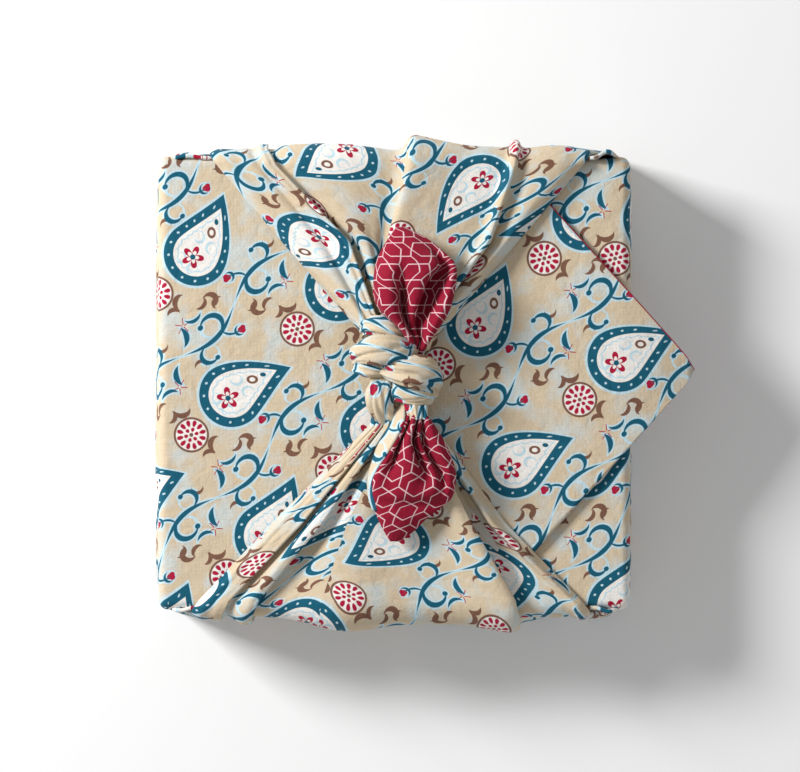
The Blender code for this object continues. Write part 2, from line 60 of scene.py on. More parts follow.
# %% Sizes of the parcel
CLOTH_SIDE = 0.500
SHEET = 0.0008  # the doubled cotton, a little thinner than the solid's sheet
HALF_DIAGONAL = CLOTH_SIDE / math.sqrt(2)
BEND = 0.0036  # where the sheet turns from base to side and from side to top
BASE_Z = 0.0006
SIDE_X = 0.0944
WRAP_Y = 0.0906  # the cloth that turns the upright corners
GATHER_Y = 0.0928  # the gathered flaps, outside it
OVER_Z = 0.0424  # the over flap, on top of the under flap
UNDER_Z = 0.0402
TOP_Z = 0.0430
HALF_X = SIDE_X - BEND
HALF_Y = GATHER_Y - BEND
WALL_HALF_Y = WRAP_Y - BEND
WALL_RUN = OVER_Z - BASE_Z - 2 * BEND + math.pi * BEND  # along the cloth, from base to top
print("the cloth reaches", round((HALF_DIAGONAL - HALF_X - WALL_RUN) / MM), "mm over the top")

# %% [markdown]
# ## Small tools for curves
# Folds are given as short tables of a few control lines, and a smooth curve is drawn through them. A B-spline
# rounds every fold, and a Catmull-Rom curve passes through each control. Cotton lies between the two, so the
# curve here is a mix of both, set by how crisp the cloth should be.


# %% Curves through short tables
def mix(a, b, share):
    return a + (b - a) * share


def ease(low, high, value):
    share = np.clip((value - low) / (high - low), 0.0, 1.0)
    return share * share * (3.0 - 2.0 * share)


def curve_through(controls, count, crisp=0.5):
    """Points of a smooth curve over a list of tuples: crisp 0 rounds the controls off, crisp 1 meets them."""
    table = np.array(controls, float)
    padded = np.vstack((2 * table[0] - table[1], table, 2 * table[-1] - table[-2]))
    place = np.linspace(0.0, len(table) - 1, count)
    index = np.minimum(place.astype(int), len(table) - 2)
    t = (place - index)[:, None]
    a, b, c, d = (padded[index + k] for k in range(4))
    soft = ((1 - t) ** 3 * a + (3 * t**3 - 6 * t**2 + 4) * b + (-3 * t**3 + 3 * t**2 + 3 * t + 1) * c + t**3 * d) / 6
    firm = b + t * (c - a) / 2 + t**2 * (a - 2.5 * b + 2 * c - d / 2) + t**3 * (1.5 * (b - c) + (d - a) / 2)
    return mix(soft, firm, crisp)


def read_table(place, places, values):
    """Straight-line reading of a short table."""
    return np.interp(place, places, values)


def arc_points(centre_a, centre_b, radius, start, end, count):
    angles = np.radians(np.linspace(start, end, count))
    return [(centre_a + radius * math.cos(t), centre_b + radius * math.sin(t)) for t in angles]


print("a curve through three points:", curve_through([(0, 0), (1, 1), (2, 0)], 5)[:, 1].round(2).tolist())

# %% [markdown]
# ## A sheet from grids
# Each stretch of cloth is a grid of points, with its place on the flat cloth kept beside it as a chart. The
# chart becomes the UV map, in metres, so the print runs over the folds as it does on the real cloth. All the
# grids go into one mesh, and Solidify then gives the sheet its thickness and its second face.

# %% Grids of cloth
FAR_FROM_HEM = 40.0
sheet = {"points": [], "faces": [], "charts": [], "hems": []}
MIDDLE = np.array((0.0, 0.0, 0.021))


def add_grid(points, chart, hem=None, faces_up=None):
    """Adds rows of points to the sheet. The chart may give each strip between two columns its own values."""
    points = np.array(points, float)
    chart = np.array(chart, float)
    rows, columns = points.shape[:2]
    first = len(sheet["points"])
    sheet["points"].extend(points.reshape(-1, 3).tolist())
    distances = np.full((rows, columns), FAR_FROM_HEM) if hem is None else np.array(hem, float)
    sheet["hems"].extend(distances.reshape(-1).tolist())
    a = points[:-1, :-1] - points[1:, 1:]
    b = points[:-1, 1:] - points[1:, :-1]
    normals = np.cross(a, b)
    middles = (points[:-1, :-1] + points[1:, 1:]) / 2
    outward = np.array((0, 0, faces_up)) if faces_up else middles - MIDDLE
    flip = np.sum(normals * outward) < 0
    for r in range(rows - 1):
        for c in range(columns - 1):
            loop = [(r, c, 0), (r, c + 1, 1), (r + 1, c + 1, 1), (r + 1, c, 0)]
            loop = loop[::-1] if flip else loop
            sheet["faces"].append([first + i * columns + j for i, j, _ in loop])
            if chart.ndim == 4:
                sheet["charts"].extend(chart[i, c, k].tolist() for i, _, k in loop)
            else:
                sheet["charts"].extend(chart[i, j].tolist() for i, j, _ in loop)
    return points


# %% [markdown]
# ## The base and the two plain flaps
# The cloth lies flat under the box, turns up at the left and right, and folds over the top. The right flap goes
# over first, and shows only at its two outer corners. The left flap lies on it, and its square corner hangs past
# the right side. Both are one section, a list of distances and heights, run along Y. The hems of the square
# corner meet at a little less than a right angle, and its tip is rounded, as a turned corner is.

# %% The loose corner of the over flap
FLAP_TIP_X = 0.1206
FLAP_TIP_Y = 0.0054
FLAP_SLOPE = 1.10
FLAP_TIP_ROUND = 0.0022
FLAP_DROOP = 0.0045


def flap_reach(x):
    """Lowest and highest Y of the over flap at this X."""
    left = max(FLAP_TIP_X - x, 0.0) * FLAP_SLOPE
    reach = math.sqrt(left * left + 2 * FLAP_TIP_ROUND * left)
    return max(-WALL_HALF_Y, FLAP_TIP_Y - reach), min(WALL_HALF_Y, FLAP_TIP_Y + reach)


def soft_wave(x, y, seed, size):
    """Smooth noise from -1 to 1 over a place in metres, with waves about as long as the size."""
    return noise.noise(Vector((x / size, y / size, seed)))


# %% Sections of the plain flaps
ACROSS = 54  # columns along Y


def wall_bulge(side, y):
    """How far a side wall swells over the box, uneven along its length."""
    return (0.0022 if side < 0 else 0.0013) + 0.0004 * soft_wave(y, 0.0, 11.0 + side, 0.05)


def wall_section(side, top):
    """Distance, height and swell up one side wall, from the base to where it turns over the top."""
    bottom = BASE_Z + BEND
    foot = [(x, z, 0.0) for x, z in arc_points(HALF_X, bottom, BEND, -90, 0, 7)]
    share = np.linspace(0, 1, 11)[1:]
    rise = [(SIDE_X, mix(bottom, top - BEND, s), math.sin(math.pi * s) ** 0.8) for s in share]
    turn = [(x, z, 0.0) for x, z in arc_points(HALF_X, top - BEND, BEND, 0, 90, 9)[1:]]
    return foot + rise, turn


def top_section(side, top):
    """Distance and height across the top, from the bend to the free edge."""
    end = -FLAP_TIP_X if side < 0 else -(HALF_X - 0.004)
    xs = np.linspace(HALF_X, end, 66 if side < 0 else 44)[1:]
    drops = [FLAP_DROOP * (max(0.0, -x - HALF_X) / (FLAP_TIP_X - HALF_X)) ** 1.6 for x in xs]
    return [(x, top - drop) for x, drop in zip(xs, drops)]


def panel_swell(side, x, y):
    """Low waves of the cloth over the box lid, which fade towards the edges that turn down."""
    waves = 0.00045 * soft_wave(x, y, 3.0 + side, 0.045) + 0.00016 * soft_wave(x, y, 7.0, 0.014)
    return waves * (1 - ease(WALL_HALF_Y - 0.006, WALL_HALF_Y, abs(y)))


def add_plain_flap(side, top):
    """One side wall and the flap that it carries over the top. Returns the wall and top lines for its corners."""
    wall, turn = wall_section(side, top)
    flat_top = top_section(side, top)
    section = wall + turn + [(x, z, 0.0) for x, z in flat_top]
    runs = HALF_X + np.concatenate(([0.0], np.cumsum([math.dist(a[:2], b[:2]) for a, b in zip(section, section[1:])])))
    rows, charts, hems = [], [], []
    for k, ((x, z, swell), run) in enumerate(zip(section, runs)):
        on_top = k >= len(wall) + len(turn)
        low, high = flap_reach(-x) if side < 0 and on_top else (-WALL_HALF_Y, WALL_HALF_Y)
        ys = np.linspace(low, high, ACROSS + 1)
        fade = [1 - ease(WALL_HALF_Y - 0.012, WALL_HALF_Y, abs(y)) for y in ys]
        out = [x + swell * f * wall_bulge(side, y) for y, f in zip(ys, fade)]
        up = [z + (panel_swell(side, x, y) if on_top else 0.0) for y in ys]
        rows.append([(side * a, y, b) for a, y, b in zip(out, ys, up)])
        hems.append([(high - y) / MM / math.hypot(1, FLAP_SLOPE) for y in ys])
        charts.append([(-side * run, y) for y in ys])
        if not (side < 0 and on_top and high < WALL_HALF_Y):
            hems[-1] = [FAR_FROM_HEM] * len(ys)
    add_grid(rows, charts, hems)
    lines = list(zip([p[0] for p in section], [p[1] for p in section], runs))
    return lines[: len(wall)], lines[len(wall) - 1 : len(wall) + len(turn)], lines[len(wall) + len(turn) - 1 :]


left_lines = add_plain_flap(-1, OVER_Z)
right_lines = add_plain_flap(1, UNDER_Z)
base_rows = [[(x, y, BASE_Z) for y in np.linspace(-HALF_Y, HALF_Y, 13)] for x in np.linspace(-HALF_X, HALF_X, 13)]
add_grid(base_rows, [[(-p[0], p[1]) for p in row] for row in base_rows])
print("faces of the sleeve:", len(sheet["faces"]))

# %% [markdown]
# ## The gathered flaps
# The far and near corners of the cloth come up over the other two sides and are drawn together to the knot, so
# they fall in folds that all run to the neck. Each fold line has a row in a table: its place at the base, at the
# rim, half way and at the neck, and how far it lifts off the plain surface there. The listed folds give the
# photographed shape, and a second, finer set of waves gives the small pulls that gathering makes.

# %% The flap's plain surface
RIM_BEND = 0.0060
TENT_START_Y = GATHER_Y - RIM_BEND
TENT_START_Z = TOP_Z + 0.0012
TENT_RISE = 0.0058
RIM_Y, MID_Y, NECK_Y = 0.0905, 0.0562, 0.0130


def stage_on_top(out):
    """1 at the rim, 2 half way and 3 at the neck."""
    return float(read_table(-out, (-RIM_Y, -MID_Y, -0.0170, -NECK_Y), (1.0, 2.0, 3.0, 3.1)))


def tent_height(out):
    share = max(TENT_START_Y - out, 0.0) / (TENT_START_Y - 0.0170)
    return TENT_START_Z + TENT_RISE * share**1.6


def gather_profile():
    """Rows up a gathered flap: distance from the middle, height, outward direction, and stage."""
    rows = []
    bottom, high = BASE_Z + BEND, TENT_START_Z - RIM_BEND
    for degrees in np.linspace(-90, 0, 7):
        t = math.radians(degrees)
        rows.append((HALF_Y + BEND * math.cos(t), bottom + BEND * math.sin(t), (math.cos(t), math.sin(t)), 0.0))
    for share in np.linspace(0, 1, 12)[1:]:
        rows.append((GATHER_Y, mix(bottom, high, share), (1.0, 0.0), 0.9 * share))
    for degrees in np.linspace(0, 90, 10)[1:]:
        t = math.radians(degrees)
        place = (TENT_START_Y + RIM_BEND * math.cos(t), high + RIM_BEND * math.sin(t))
        rows.append((*place, (math.cos(t), math.sin(t)), mix(0.9, stage_on_top(TENT_START_Y), degrees / 90)))
    for out in np.linspace(TENT_START_Y, NECK_Y, 50)[1:]:
        rows.append((out, tent_height(out), (0.0, 1.0), stage_on_top(out)))
    return rows


print("rows up a gathered flap:", len(gather_profile()))

# %% Folds of the far flap
# Columns: X at base, then X and lift at rim, middle and neck, in mm, then the strip of print that it is on
FAR_FOLDS = {
    "left turned under": (-80.0, -66.0, -0.8, -39.0, -0.8, -8.4, -0.4, -1),
    "left edge": (-90.8, -74.0, -0.4, -44.8, -0.2, -10.2, 0.4, 0),
    "left roll": (-85.0, -70.4, 0.9, -41.4, 2.6, -8.4, 3.0, 0),
    "left panel": (-64.0, -60.0, 0.8, -31.0, 3.0, -7.0, 4.6, 0),
    "left crease": (-60.0, -56.4, 1.2, -26.4, 2.2, -6.0, 4.2, 0),
    "left of groove": (-56.0, -53.4, 2.6, -21.6, 4.6, -5.0, 6.0, 0),
    "groove lip": (-53.0, -50.8, 2.8, -17.9, 5.6, -3.8, 6.6, 0),
    "groove back": (-51.0, -51.4, 1.6, -20.2, 2.8, -4.8, 4.8, 1),
    "groove floor": (-48.0, -48.8, 0.2, -18.6, -2.2, -4.2, 1.6, 1),
    "left ridge": (-44.0, -43.2, 2.8, -12.6, 4.6, -1.6, 5.4, 1),
    "middle left": (-18.0, -18.0, 3.0, -9.6, 3.6, -0.4, 5.6, 1),
    "middle groove": (-3.0, -2.6, 0.4, -6.0, 1.2, 0.8, 3.8, 1),
    "middle tuck": (3.0, 5.2, 2.6, -0.6, 1.6, 2.4, 4.0, 1),
    "middle lip": (5.0, 5.6, 5.2, -3.0, 4.6, 1.4, 6.2, 2),
    "middle ridge": (9.0, 9.4, 6.6, 1.8, 5.2, 3.4, 6.4, 2),
    "middle right": (28.0, 29.0, 2.2, 18.0, 3.0, 5.2, 5.4, 2),
    "slim ridge near": (43.0, 44.4, 1.6, 33.4, 1.8, 6.8, 4.0, 2),
    "slim ridge": (48.0, 48.2, 4.4, 36.4, 6.2, 8.4, 6.2, 3),
    "slim ridge lip": (50.0, 49.8, 4.2, 38.2, 5.6, 9.0, 6.0, 3),
    "slim ridge far": (53.0, 51.4, 1.6, 37.8, -0.6, 9.0, 2.8, 4),
    "right panel": (64.0, 64.0, 2.2, 43.2, 2.8, 12.0, 4.6, 4),
    "right roll": (84.0, 74.6, 1.6, 45.8, 2.8, 13.4, 3.4, 4),
    "right edge": (90.8, 78.4, -0.3, 49.0, -0.2, 15.4, 0.4, 4),
    "right turned under": (80.0, 70.0, -0.8, 44.0, -0.8, 13.8, -0.4, 6),
}

# %% Folds of the near flap
NEAR_FOLDS = {
    "left turned under": (-82.0, -74.0, -0.8, -43.4, -0.8, -8.0, -0.4, -1),
    "left edge": (-90.8, -81.6, -0.4, -49.2, -0.2, -9.8, 0.4, 0),
    "left roll": (-85.0, -78.0, 1.4, -46.0, 2.4, -7.8, 3.2, 0),
    "left panel": (-74.0, -73.0, 2.0, -42.0, 3.2, -6.6, 4.8, 0),
    "left lip": (-70.0, -69.4, 2.6, -37.0, 4.8, -5.0, 5.8, 0),
    "left back": (-68.5, -69.8, 1.2, -39.2, 1.8, -5.8, 4.2, 1),
    "left groove": (-66.0, -67.2, 0.2, -37.4, -2.0, -5.0, 2.0, 1),
    "tube": (-61.0, -61.0, 4.0, -32.4, 5.6, -3.2, 6.0, 1),
    "tube lip": (-57.6, -57.4, 3.4, -29.0, 5.4, -2.2, 6.0, 1),
    "tube back": (-56.4, -58.0, 1.4, -31.0, 2.0, -3.0, 4.4, 2),
    "right of tube": (-54.5, -55.2, 0.2, -29.2, -2.0, -2.2, 2.4, 2),
    "wide panel": (-38.0, -38.0, 2.6, -22.0, 3.4, -0.4, 5.4, 2),
    "upright pleat": (-19.0, -19.5, 7.2, -14.4, 4.8, 1.0, 5.8, 3),
    "middle panel": (4.0, 5.0, 3.4, 0.0, 3.0, 3.0, 5.2, 3),
    "pleat near": (30.0, 32.0, 5.0, 20.0, 4.4, 6.0, 6.0, 3),
    "pleat over": (42.0, 46.5, 7.2, 27.6, 7.4, 8.4, 8.0, 3),
    "pleat edge": (48.0, 50.4, 5.7, 31.0, 6.6, 10.4, 7.0, 3),
    "pleat back": (54.0, 47.5, 4.2, 27.4, 4.2, 8.6, 5.0, 4),
    "pleat inner": (60.0, 44.0, 2.7, 24.8, -0.6, 7.2, 1.6, 4),
    "pleat under": (66.0, 49.0, 1.0, 29.6, -3.4, 9.6, -1.6, 5),
    "right panel": (73.0, 60.0, 1.0, 35.4, -3.6, 11.0, -2.2, 5),
    "roll foot": (79.0, 71.6, 0.6, 37.6, -2.0, 12.2, -0.6, 5),
    "right roll": (84.5, 74.4, 2.8, 38.8, 5.0, 13.2, 3.4, 5),
    "right edge": (90.8, 78.4, -0.3, 44.8, -0.2, 15.4, 0.2, 5),
    "right turned under": (82.0, 71.0, -0.8, 40.0, -0.8, 13.0, -0.4, 6),
}
print("fold lines:", len(FAR_FOLDS), "far and", len(NEAR_FOLDS), "near")

# %% Gathering
COLUMNS = 128
PULLS = ((9.3, 0.36), (15.1, 0.34), (23.7, 0.22))  # waves across the flap, and their height in mm at the neck
EDGE_SHARE = 0.045  # the part of the width, at each edge, that lies on the flaps


def fold_controls(folds, stage):
    """Where each fold line stands at a stage, and its lift, in mm."""
    table = np.array(list(folds.values()))
    if stage >= 1.0:
        sides = [read_table(stage, (1, 2, 3, 3.1), (f[1], f[3], f[5], f[5] * 0.9)) for f in table]
        lifts = [read_table(stage, (1, 2, 3, 3.1), (f[2], f[4], f[6], f[6])) for f in table]
    else:
        sides = mix(table[:, 0], table[:, 1], ease(0.30, 1.00, stage))
        lifts = table[:, 2] * ease(0.02, 0.40, stage)
        lifts[[0, -1]] = -0.9
    return np.column_stack((sides, lifts))


def panel_top(x, y):
    """Height of the flaps that the gathered cloth lies on."""
    low, high = flap_reach(x)
    inside = min(y - low, high - y) if x > -HALF_X else 1.0
    return mix(UNDER_Z, OVER_Z, float(ease(-0.004, 0.004, inside)))


def add_gather(folds, side, seed):
    """A gathered flap on the far (side 1) or near (side -1) edge of the base."""
    shares = np.linspace(0.0, 1.0, COLUMNS + 1)
    strip_of_fold = [f[7] for f in folds.values()]
    fold_at = np.minimum((shares[:-1] + shares[1:]) / 2 * (len(folds) - 1) + 0.5, len(folds) - 1).astype(int)
    strips = np.array([strip_of_fold[k] for k in fold_at])
    base_x = curve_through([(f[0],) for f in folds.values()], COLUMNS + 1, 0.5)[:, 0] * MM
    rows, lengths = [], []
    for out, z, (toward, up), stage in gather_profile():
        line = curve_through(fold_controls(folds, stage), COLUMNS + 1, 0.7)
        grows = float(read_table(stage, (0.0, 0.5, 1.0, 2.0, 3.0), (0.0, 0.25, 0.5, 0.9, 1.3)))
        edge = np.minimum(shares, 1 - shares)
        pulls = sum(a * np.sin(2 * math.pi * (f * shares + 0.13 * f * seed + 0.12 * stage)) for f, a in PULLS)
        lift = (line[:, 1] + pulls * grows * ease(0.0, 0.05, edge)) * MM
        if up > 0.99:
            rests = np.array([panel_top(x * MM, side * out) for x in line[:, 0]]) + 0.0010
            rests += 0.0011 * ease(0.0, EDGE_SHARE, edge)
            low = (1 - ease(EDGE_SHARE, 2.2 * EDGE_SHARE, edge)) * (1 - ease(2.3, 2.95, stage))
            lift = mix(lift, np.minimum(lift, rests - z), low)
        row = np.column_stack((line[:, 0] * MM, side * (out + toward * lift), z + up * lift))
        rows.append(row)
        lengths.append(np.concatenate(([0.0], np.cumsum(np.linalg.norm(np.diff(row, axis=0), axis=1)))))
    rows = np.array(rows)
    steps = np.linalg.norm(np.diff(rows, axis=0), axis=2)
    along = HALF_Y + np.vstack((np.zeros(COLUMNS + 1), np.cumsum(steps, axis=0)))
    along = along.mean(axis=1, keepdims=True) + 0.25 * (along - along.mean(axis=1, keepdims=True))
    chart = np.zeros((len(rows), COLUMNS, 2, 2))
    for strip in sorted(set(strips)):
        held = np.flatnonzero(strips == strip)
        middle = (held[0] + held[-1] + 1) // 2
        for r in range(len(rows)):
            for k in (0, 1):
                chart[r, held, k, 0] = -(base_x[middle] + lengths[r][held + k] - lengths[r][middle])
                chart[r, held, k, 1] = side * along[r][held + k]
    add_grid(rows, chart)


add_gather(FAR_FOLDS, 1, 0.0)
add_gather(NEAR_FOLDS, -1, 1.0)
print("faces with both gathered flaps:", len(sheet["faces"]))

# %% [markdown]
# ## The turned corners
# At each upright corner the side wall's cloth turns and runs on behind the gathered flap, where it passes the
# cloth from the other corner. Its upper part is folded down inside, so its top edge is a soft fold that stands a
# little open beside the corner: the dark gap and the small rolls of the photograph. The flap on top turns down
# inside that fold as a skirt, and an eighth of a ball closes the corner between them.

# %% Cloth round the corners
# Columns: side in X, side in Y, height of the top fold, how far it stands out, where it stands, and its run, in mm
CORNERS = {
    "far left": (-1, 1, 42.6, 0.8, 16.0, 124.0),
    "far right": (1, 1, 44.0, 2.6, 11.0, 124.0),
    "near left": (-1, -1, 42.2, 1.0, 10.0, 124.0),
    "near right": (1, -1, 42.0, 1.4, 10.0, 124.0),
}
FOOT_Z, TUCK_Z = 0.0026, 0.0396
LAYERS_APART = 0.0010  # the left side's cloth goes in behind the right side's
FOLDED_IN = ((-0.25, 0.30), (-0.60, 0.30), (-0.82, -0.05), (-0.84, -3.0), (-0.84, -6.0))  # past the top fold, in mm
QUARTER = np.linspace(0, math.pi / 2, 9)


def add_corner_round(wall, turn, side_x, side_y):
    """The upright rounded corner and the eighth of a ball that closes it."""
    rows, charts = [], []
    for x0, z0, run in wall + turn[1:]:
        inset = x0 - HALF_X
        row = []
        for t in QUARTER:
            place = (HALF_X + inset * math.cos(t), WALL_HALF_Y + inset * math.sin(t))
            row.append((side_x * place[0], side_y * place[1], z0))
        rows.append(row)
        charts.append([(-side_x * run, side_y * (WALL_HALF_Y + inset * t)) for t in QUARTER])
    add_grid(rows, charts)


def add_wrap(wall, side_x, side_y, top_mm, out_mm, out_run, run_mm):
    """The cloth that runs on from the corner behind the gathered flap, with its top folded in."""
    shares = np.concatenate((np.linspace(0, 0.16, 21), np.linspace(0.16, 1, 14)[1:]))
    low, high = wall[0][1], wall[-1][1]
    rows, charts = [], []
    for k in range(len(wall) + len(FOLDED_IN)):
        x0, z0, run = wall[min(k, len(wall) - 1)]
        in_y, in_z = FOLDED_IN[k - len(wall)] if k >= len(wall) else (0.0, 0.0)
        grown = (z0 - low) / (high - low)
        inset = x0 - HALF_X
        raised = max(z0, mix(FOOT_Z, BASE_Z + BEND + MM, inset / BEND))
        row, chart = [], []
        for share in shares:
            along = run_mm * MM * share
            near = math.sin(math.pi * min(along / (out_run * MM), 1.0)) ** 2
            stands = out_mm * MM * ease(0.45, 1.0, grown) * near
            stands -= LAYERS_APART * ease(0.12, 0.4, share) if side_x < 0 else 0.0
            opens = ease(0.0, 0.004, along)
            edge = mix(top_mm * MM, TUCK_Z, ease(out_run * 0.9 * MM, out_run * 1.5 * MM, along))
            foot = mix(z0, raised, opens)
            z = mix(foot, edge, ease(0.62, 1.0, grown) * opens) + in_z * MM * opens
            y = WALL_HALF_Y + inset + stands + in_y * MM * opens
            row.append((side_x * (HALF_X - along), side_y * y, z))
            chart.append((-side_x * (run - in_z * MM), side_y * (WALL_HALF_Y + inset * math.pi / 2 + along)))
        rows.append(row)
        charts.append(chart)
    add_grid(rows, charts)


def add_skirt(turn, top, side_x, side_y, shown):
    """The edge of the flap on top, which turns down inside the wrap."""
    rows, charts = [], []
    for x0, z0, run in top:
        length = 1.0 if shown(x0) else 0.02
        radius = mix(BEND, 0.0028, ease(0.0, 0.007, HALF_X - x0))
        row = [(side_x * x0, side_y * (WALL_HALF_Y + radius * length * math.sin(t)),
                z0 - radius * length * (1 - math.cos(t))) for t in QUARTER]
        row += [(row[-1][0], row[-1][1], row[-1][2] - down * MM * length) for down in (2.0, 5.0)]
        rows.append(row)
        places = [radius * length * t for t in QUARTER] + [radius * length * math.pi / 2 + d * MM for d in (2.0, 5.0)]
        charts.append([(-side_x * run, side_y * (WALL_HALF_Y + place)) for place in places])
    add_grid(rows, charts)


for side_x, side_y, *sizes in CORNERS.values():
    wall, turn, top = left_lines if side_x < 0 else right_lines
    add_corner_round(wall, turn, side_x, side_y)
    add_wrap(wall, side_x, side_y, *sizes)
    reach_index = 1 if side_y > 0 else 0
    if side_x < 0:
        whole = [p for p in top if abs(flap_reach(-p[0])[reach_index]) >= WALL_HALF_Y - 1e-6]
        add_skirt(turn, whole, side_x, side_y, lambda x: x > -0.02)
    else:
        add_skirt(turn, [p for p in top if p[0] > 0.02], side_x, side_y, lambda x: True)
print("faces with the corners:", len(sheet["faces"]))

# %% [markdown]
# ## The free ends
# The two corners of the cloth that make the knot stand out of it as short leaf-shaped ends, and they show the
# reverse of the cloth, crimson with a white lattice. Each is a cupped sheet with deep pleats that start in the
# knot. Its table is a row of sections: ten places across, from the left edge over ridges and grooves to the right
# edge, each with its height. Where a place steps back under the one before it, the pleat overhangs.

# %% Sections of the far end
KNOT_Y = 1.2  # the knot stands this far past the parcel's middle
# One entry is one section: its y, then ten places across, then their ten heights, in mm
FAR_END = (
    (9.0, (6.5, 6.8, 7.1, 7.4, 7.8, 8.1, 8.4, 8.8, 9.2, 9.5),
     (55.5, 56.2, 56.0, 55.2, 55.8, 55.8, 55.0, 55.6, 56.0, 55.5)),
    (13.0, (5.9, 6.6, 7.2, 7.6, 8.2, 8.6, 9.0, 10.0, 11.4, 12.6),
     (59.0, 60.4, 60.2, 57.6, 58.8, 58.8, 57.0, 58.4, 60.6, 59.8)),
    (16.0, (5.0, 6.0, 7.2, 8.0, 8.6, 9.2, 9.8, 11.0, 12.8, 14.2),
     (60.5, 62.4, 62.2, 57.4, 60.2, 60.2, 56.8, 59.0, 62.4, 61.6)),
    (21.0, (1.6, 2.6, 4.2, 5.2, 6.6, 7.8, 7.6, 11.4, 15.0, 17.8),
     (61.0, 64.4, 63.6, 56.0, 60.6, 60.2, 55.6, 59.0, 64.4, 62.6)),
    (27.0, (-5.2, -3.4, 1.0, 3.2, 6.0, 8.6, 7.6, 13.2, 18.2, 21.4),
     (60.0, 65.2, 65.2, 54.6, 62.6, 62.4, 54.0, 57.2, 65.2, 63.0)),
    (33.0, (-8.1, -5.8, 0.4, 2.8, 6.4, 10.8, 9.0, 15.4, 20.4, 23.2),
     (59.0, 64.8, 65.8, 54.2, 64.2, 64.4, 52.8, 55.8, 64.6, 62.4)),
    (40.0, (-8.0, -5.4, -0.8, 3.0, 6.4, 13.6, 11.8, 18.2, 22.4, 24.4),
     (58.0, 63.6, 65.4, 59.8, 65.2, 65.6, 52.8, 55.4, 62.8, 61.2)),
    (46.0, (-7.2, -4.6, -0.2, 3.6, 8.6, 17.6, 17.2, 20.4, 22.8, 24.0),
     (57.0, 62.0, 64.4, 64.0, 65.0, 64.4, 57.2, 58.0, 60.6, 60.0)),
    (51.0, (-5.2, -3.2, 0.4, 3.8, 7.8, 12.8, 15.0, 16.4, 18.0, 19.0),
     (56.2, 60.2, 62.4, 62.6, 62.8, 61.8, 60.2, 59.2, 59.0, 58.8)),
    (56.0, (-2.2, -0.8, 1.4, 3.8, 6.4, 8.8, 10.2, 11.2, 12.2, 12.8),
     (55.2, 57.6, 59.0, 59.4, 59.4, 58.8, 58.2, 57.6, 57.2, 57.0)),
    (60.5, (1.0, 1.3, 1.8, 2.2, 2.6, 2.9, 3.2, 3.5, 3.8, 4.0),
     (54.4, 55.2, 55.8, 56.0, 56.0, 55.8, 55.6, 55.4, 55.2, 55.0)),
)

# %% Sections of the near end
NEAR_END = (
    (-11.0, (6.0, 6.6, 7.0, 7.4, 8.0, 8.6, 9.2, 9.8, 10.6, 11.2),
     (56.0, 57.0, 56.0, 57.2, 57.2, 56.0, 57.2, 56.0, 57.0, 56.0)),
    (-14.0, (4.6, 5.6, 6.4, 7.2, 8.0, 8.8, 9.8, 10.6, 11.8, 12.8),
     (58.4, 60.4, 57.6, 60.6, 60.6, 57.4, 60.2, 57.4, 60.2, 58.6)),
    (-17.5, (3.2, 4.6, 5.4, 6.6, 7.8, 8.6, 10.0, 10.9, 13.4, 15.2),
     (58.6, 62.2, 56.6, 62.2, 62.4, 56.0, 61.8, 56.6, 62.0, 59.6)),
    (-24.0, (-0.8, 1.4, 2.2, 4.2, 6.6, 6.6, 9.6, 10.0, 15.6, 19.4),
     (58.6, 63.0, 55.6, 63.4, 63.6, 55.0, 62.8, 55.8, 62.8, 59.8)),
    (-31.0, (-5.2, -2.4, -0.2, 2.6, 8.2, 8.4, 12.8, 13.2, 18.8, 22.6),
     (57.8, 62.4, 56.2, 63.2, 63.8, 55.4, 62.8, 55.8, 62.4, 59.2)),
    (-38.0, (-9.4, -6.6, -1.8, 1.6, 7.6, 12.8, 16.6, 18.2, 21.8, 24.2),
     (56.8, 61.0, 60.0, 62.4, 63.4, 59.0, 62.2, 56.8, 61.2, 58.4)),
    (-45.0, (-9.9, -7.2, -2.6, 1.4, 6.2, 11.2, 15.4, 18.8, 21.4, 23.3),
     (56.0, 59.4, 60.2, 61.2, 61.8, 61.4, 61.4, 59.6, 59.8, 57.6)),
    (-49.0, (-8.7, -6.2, -2.4, 1.2, 5.4, 9.8, 13.6, 16.4, 18.8, 20.4),
     (55.4, 57.8, 58.4, 58.8, 58.2, 57.4, 57.0, 56.6, 56.4, 55.8)),
    (-54.0, (-6.8, -5.0, -2.2, 0.4, 3.2, 6.0, 8.6, 10.6, 12.4, 13.6),
     (55.2, 57.2, 58.2, 58.8, 58.8, 58.4, 57.6, 57.0, 56.4, 56.0)),
    (-60.0, (-3.9, -2.8, -1.2, 0.4, 2.0, 3.4, 4.8, 5.8, 6.8, 7.4),
     (54.2, 55.4, 56.0, 56.2, 56.2, 56.0, 55.6, 55.2, 54.8, 54.4)),
    (-64.0, (-1.4, -1.1, -0.7, -0.3, 0.1, 0.5, 0.9, 1.2, 1.4, 1.6),
     (53.2, 53.8, 54.0, 54.0, 54.0, 54.0, 53.8, 53.6, 53.4, 53.2)),
)
print("sections:", len(FAR_END), "far and", len(NEAR_END), "near")


# %% Cupped ends
END_ROWS, END_COLUMNS = 54, 55


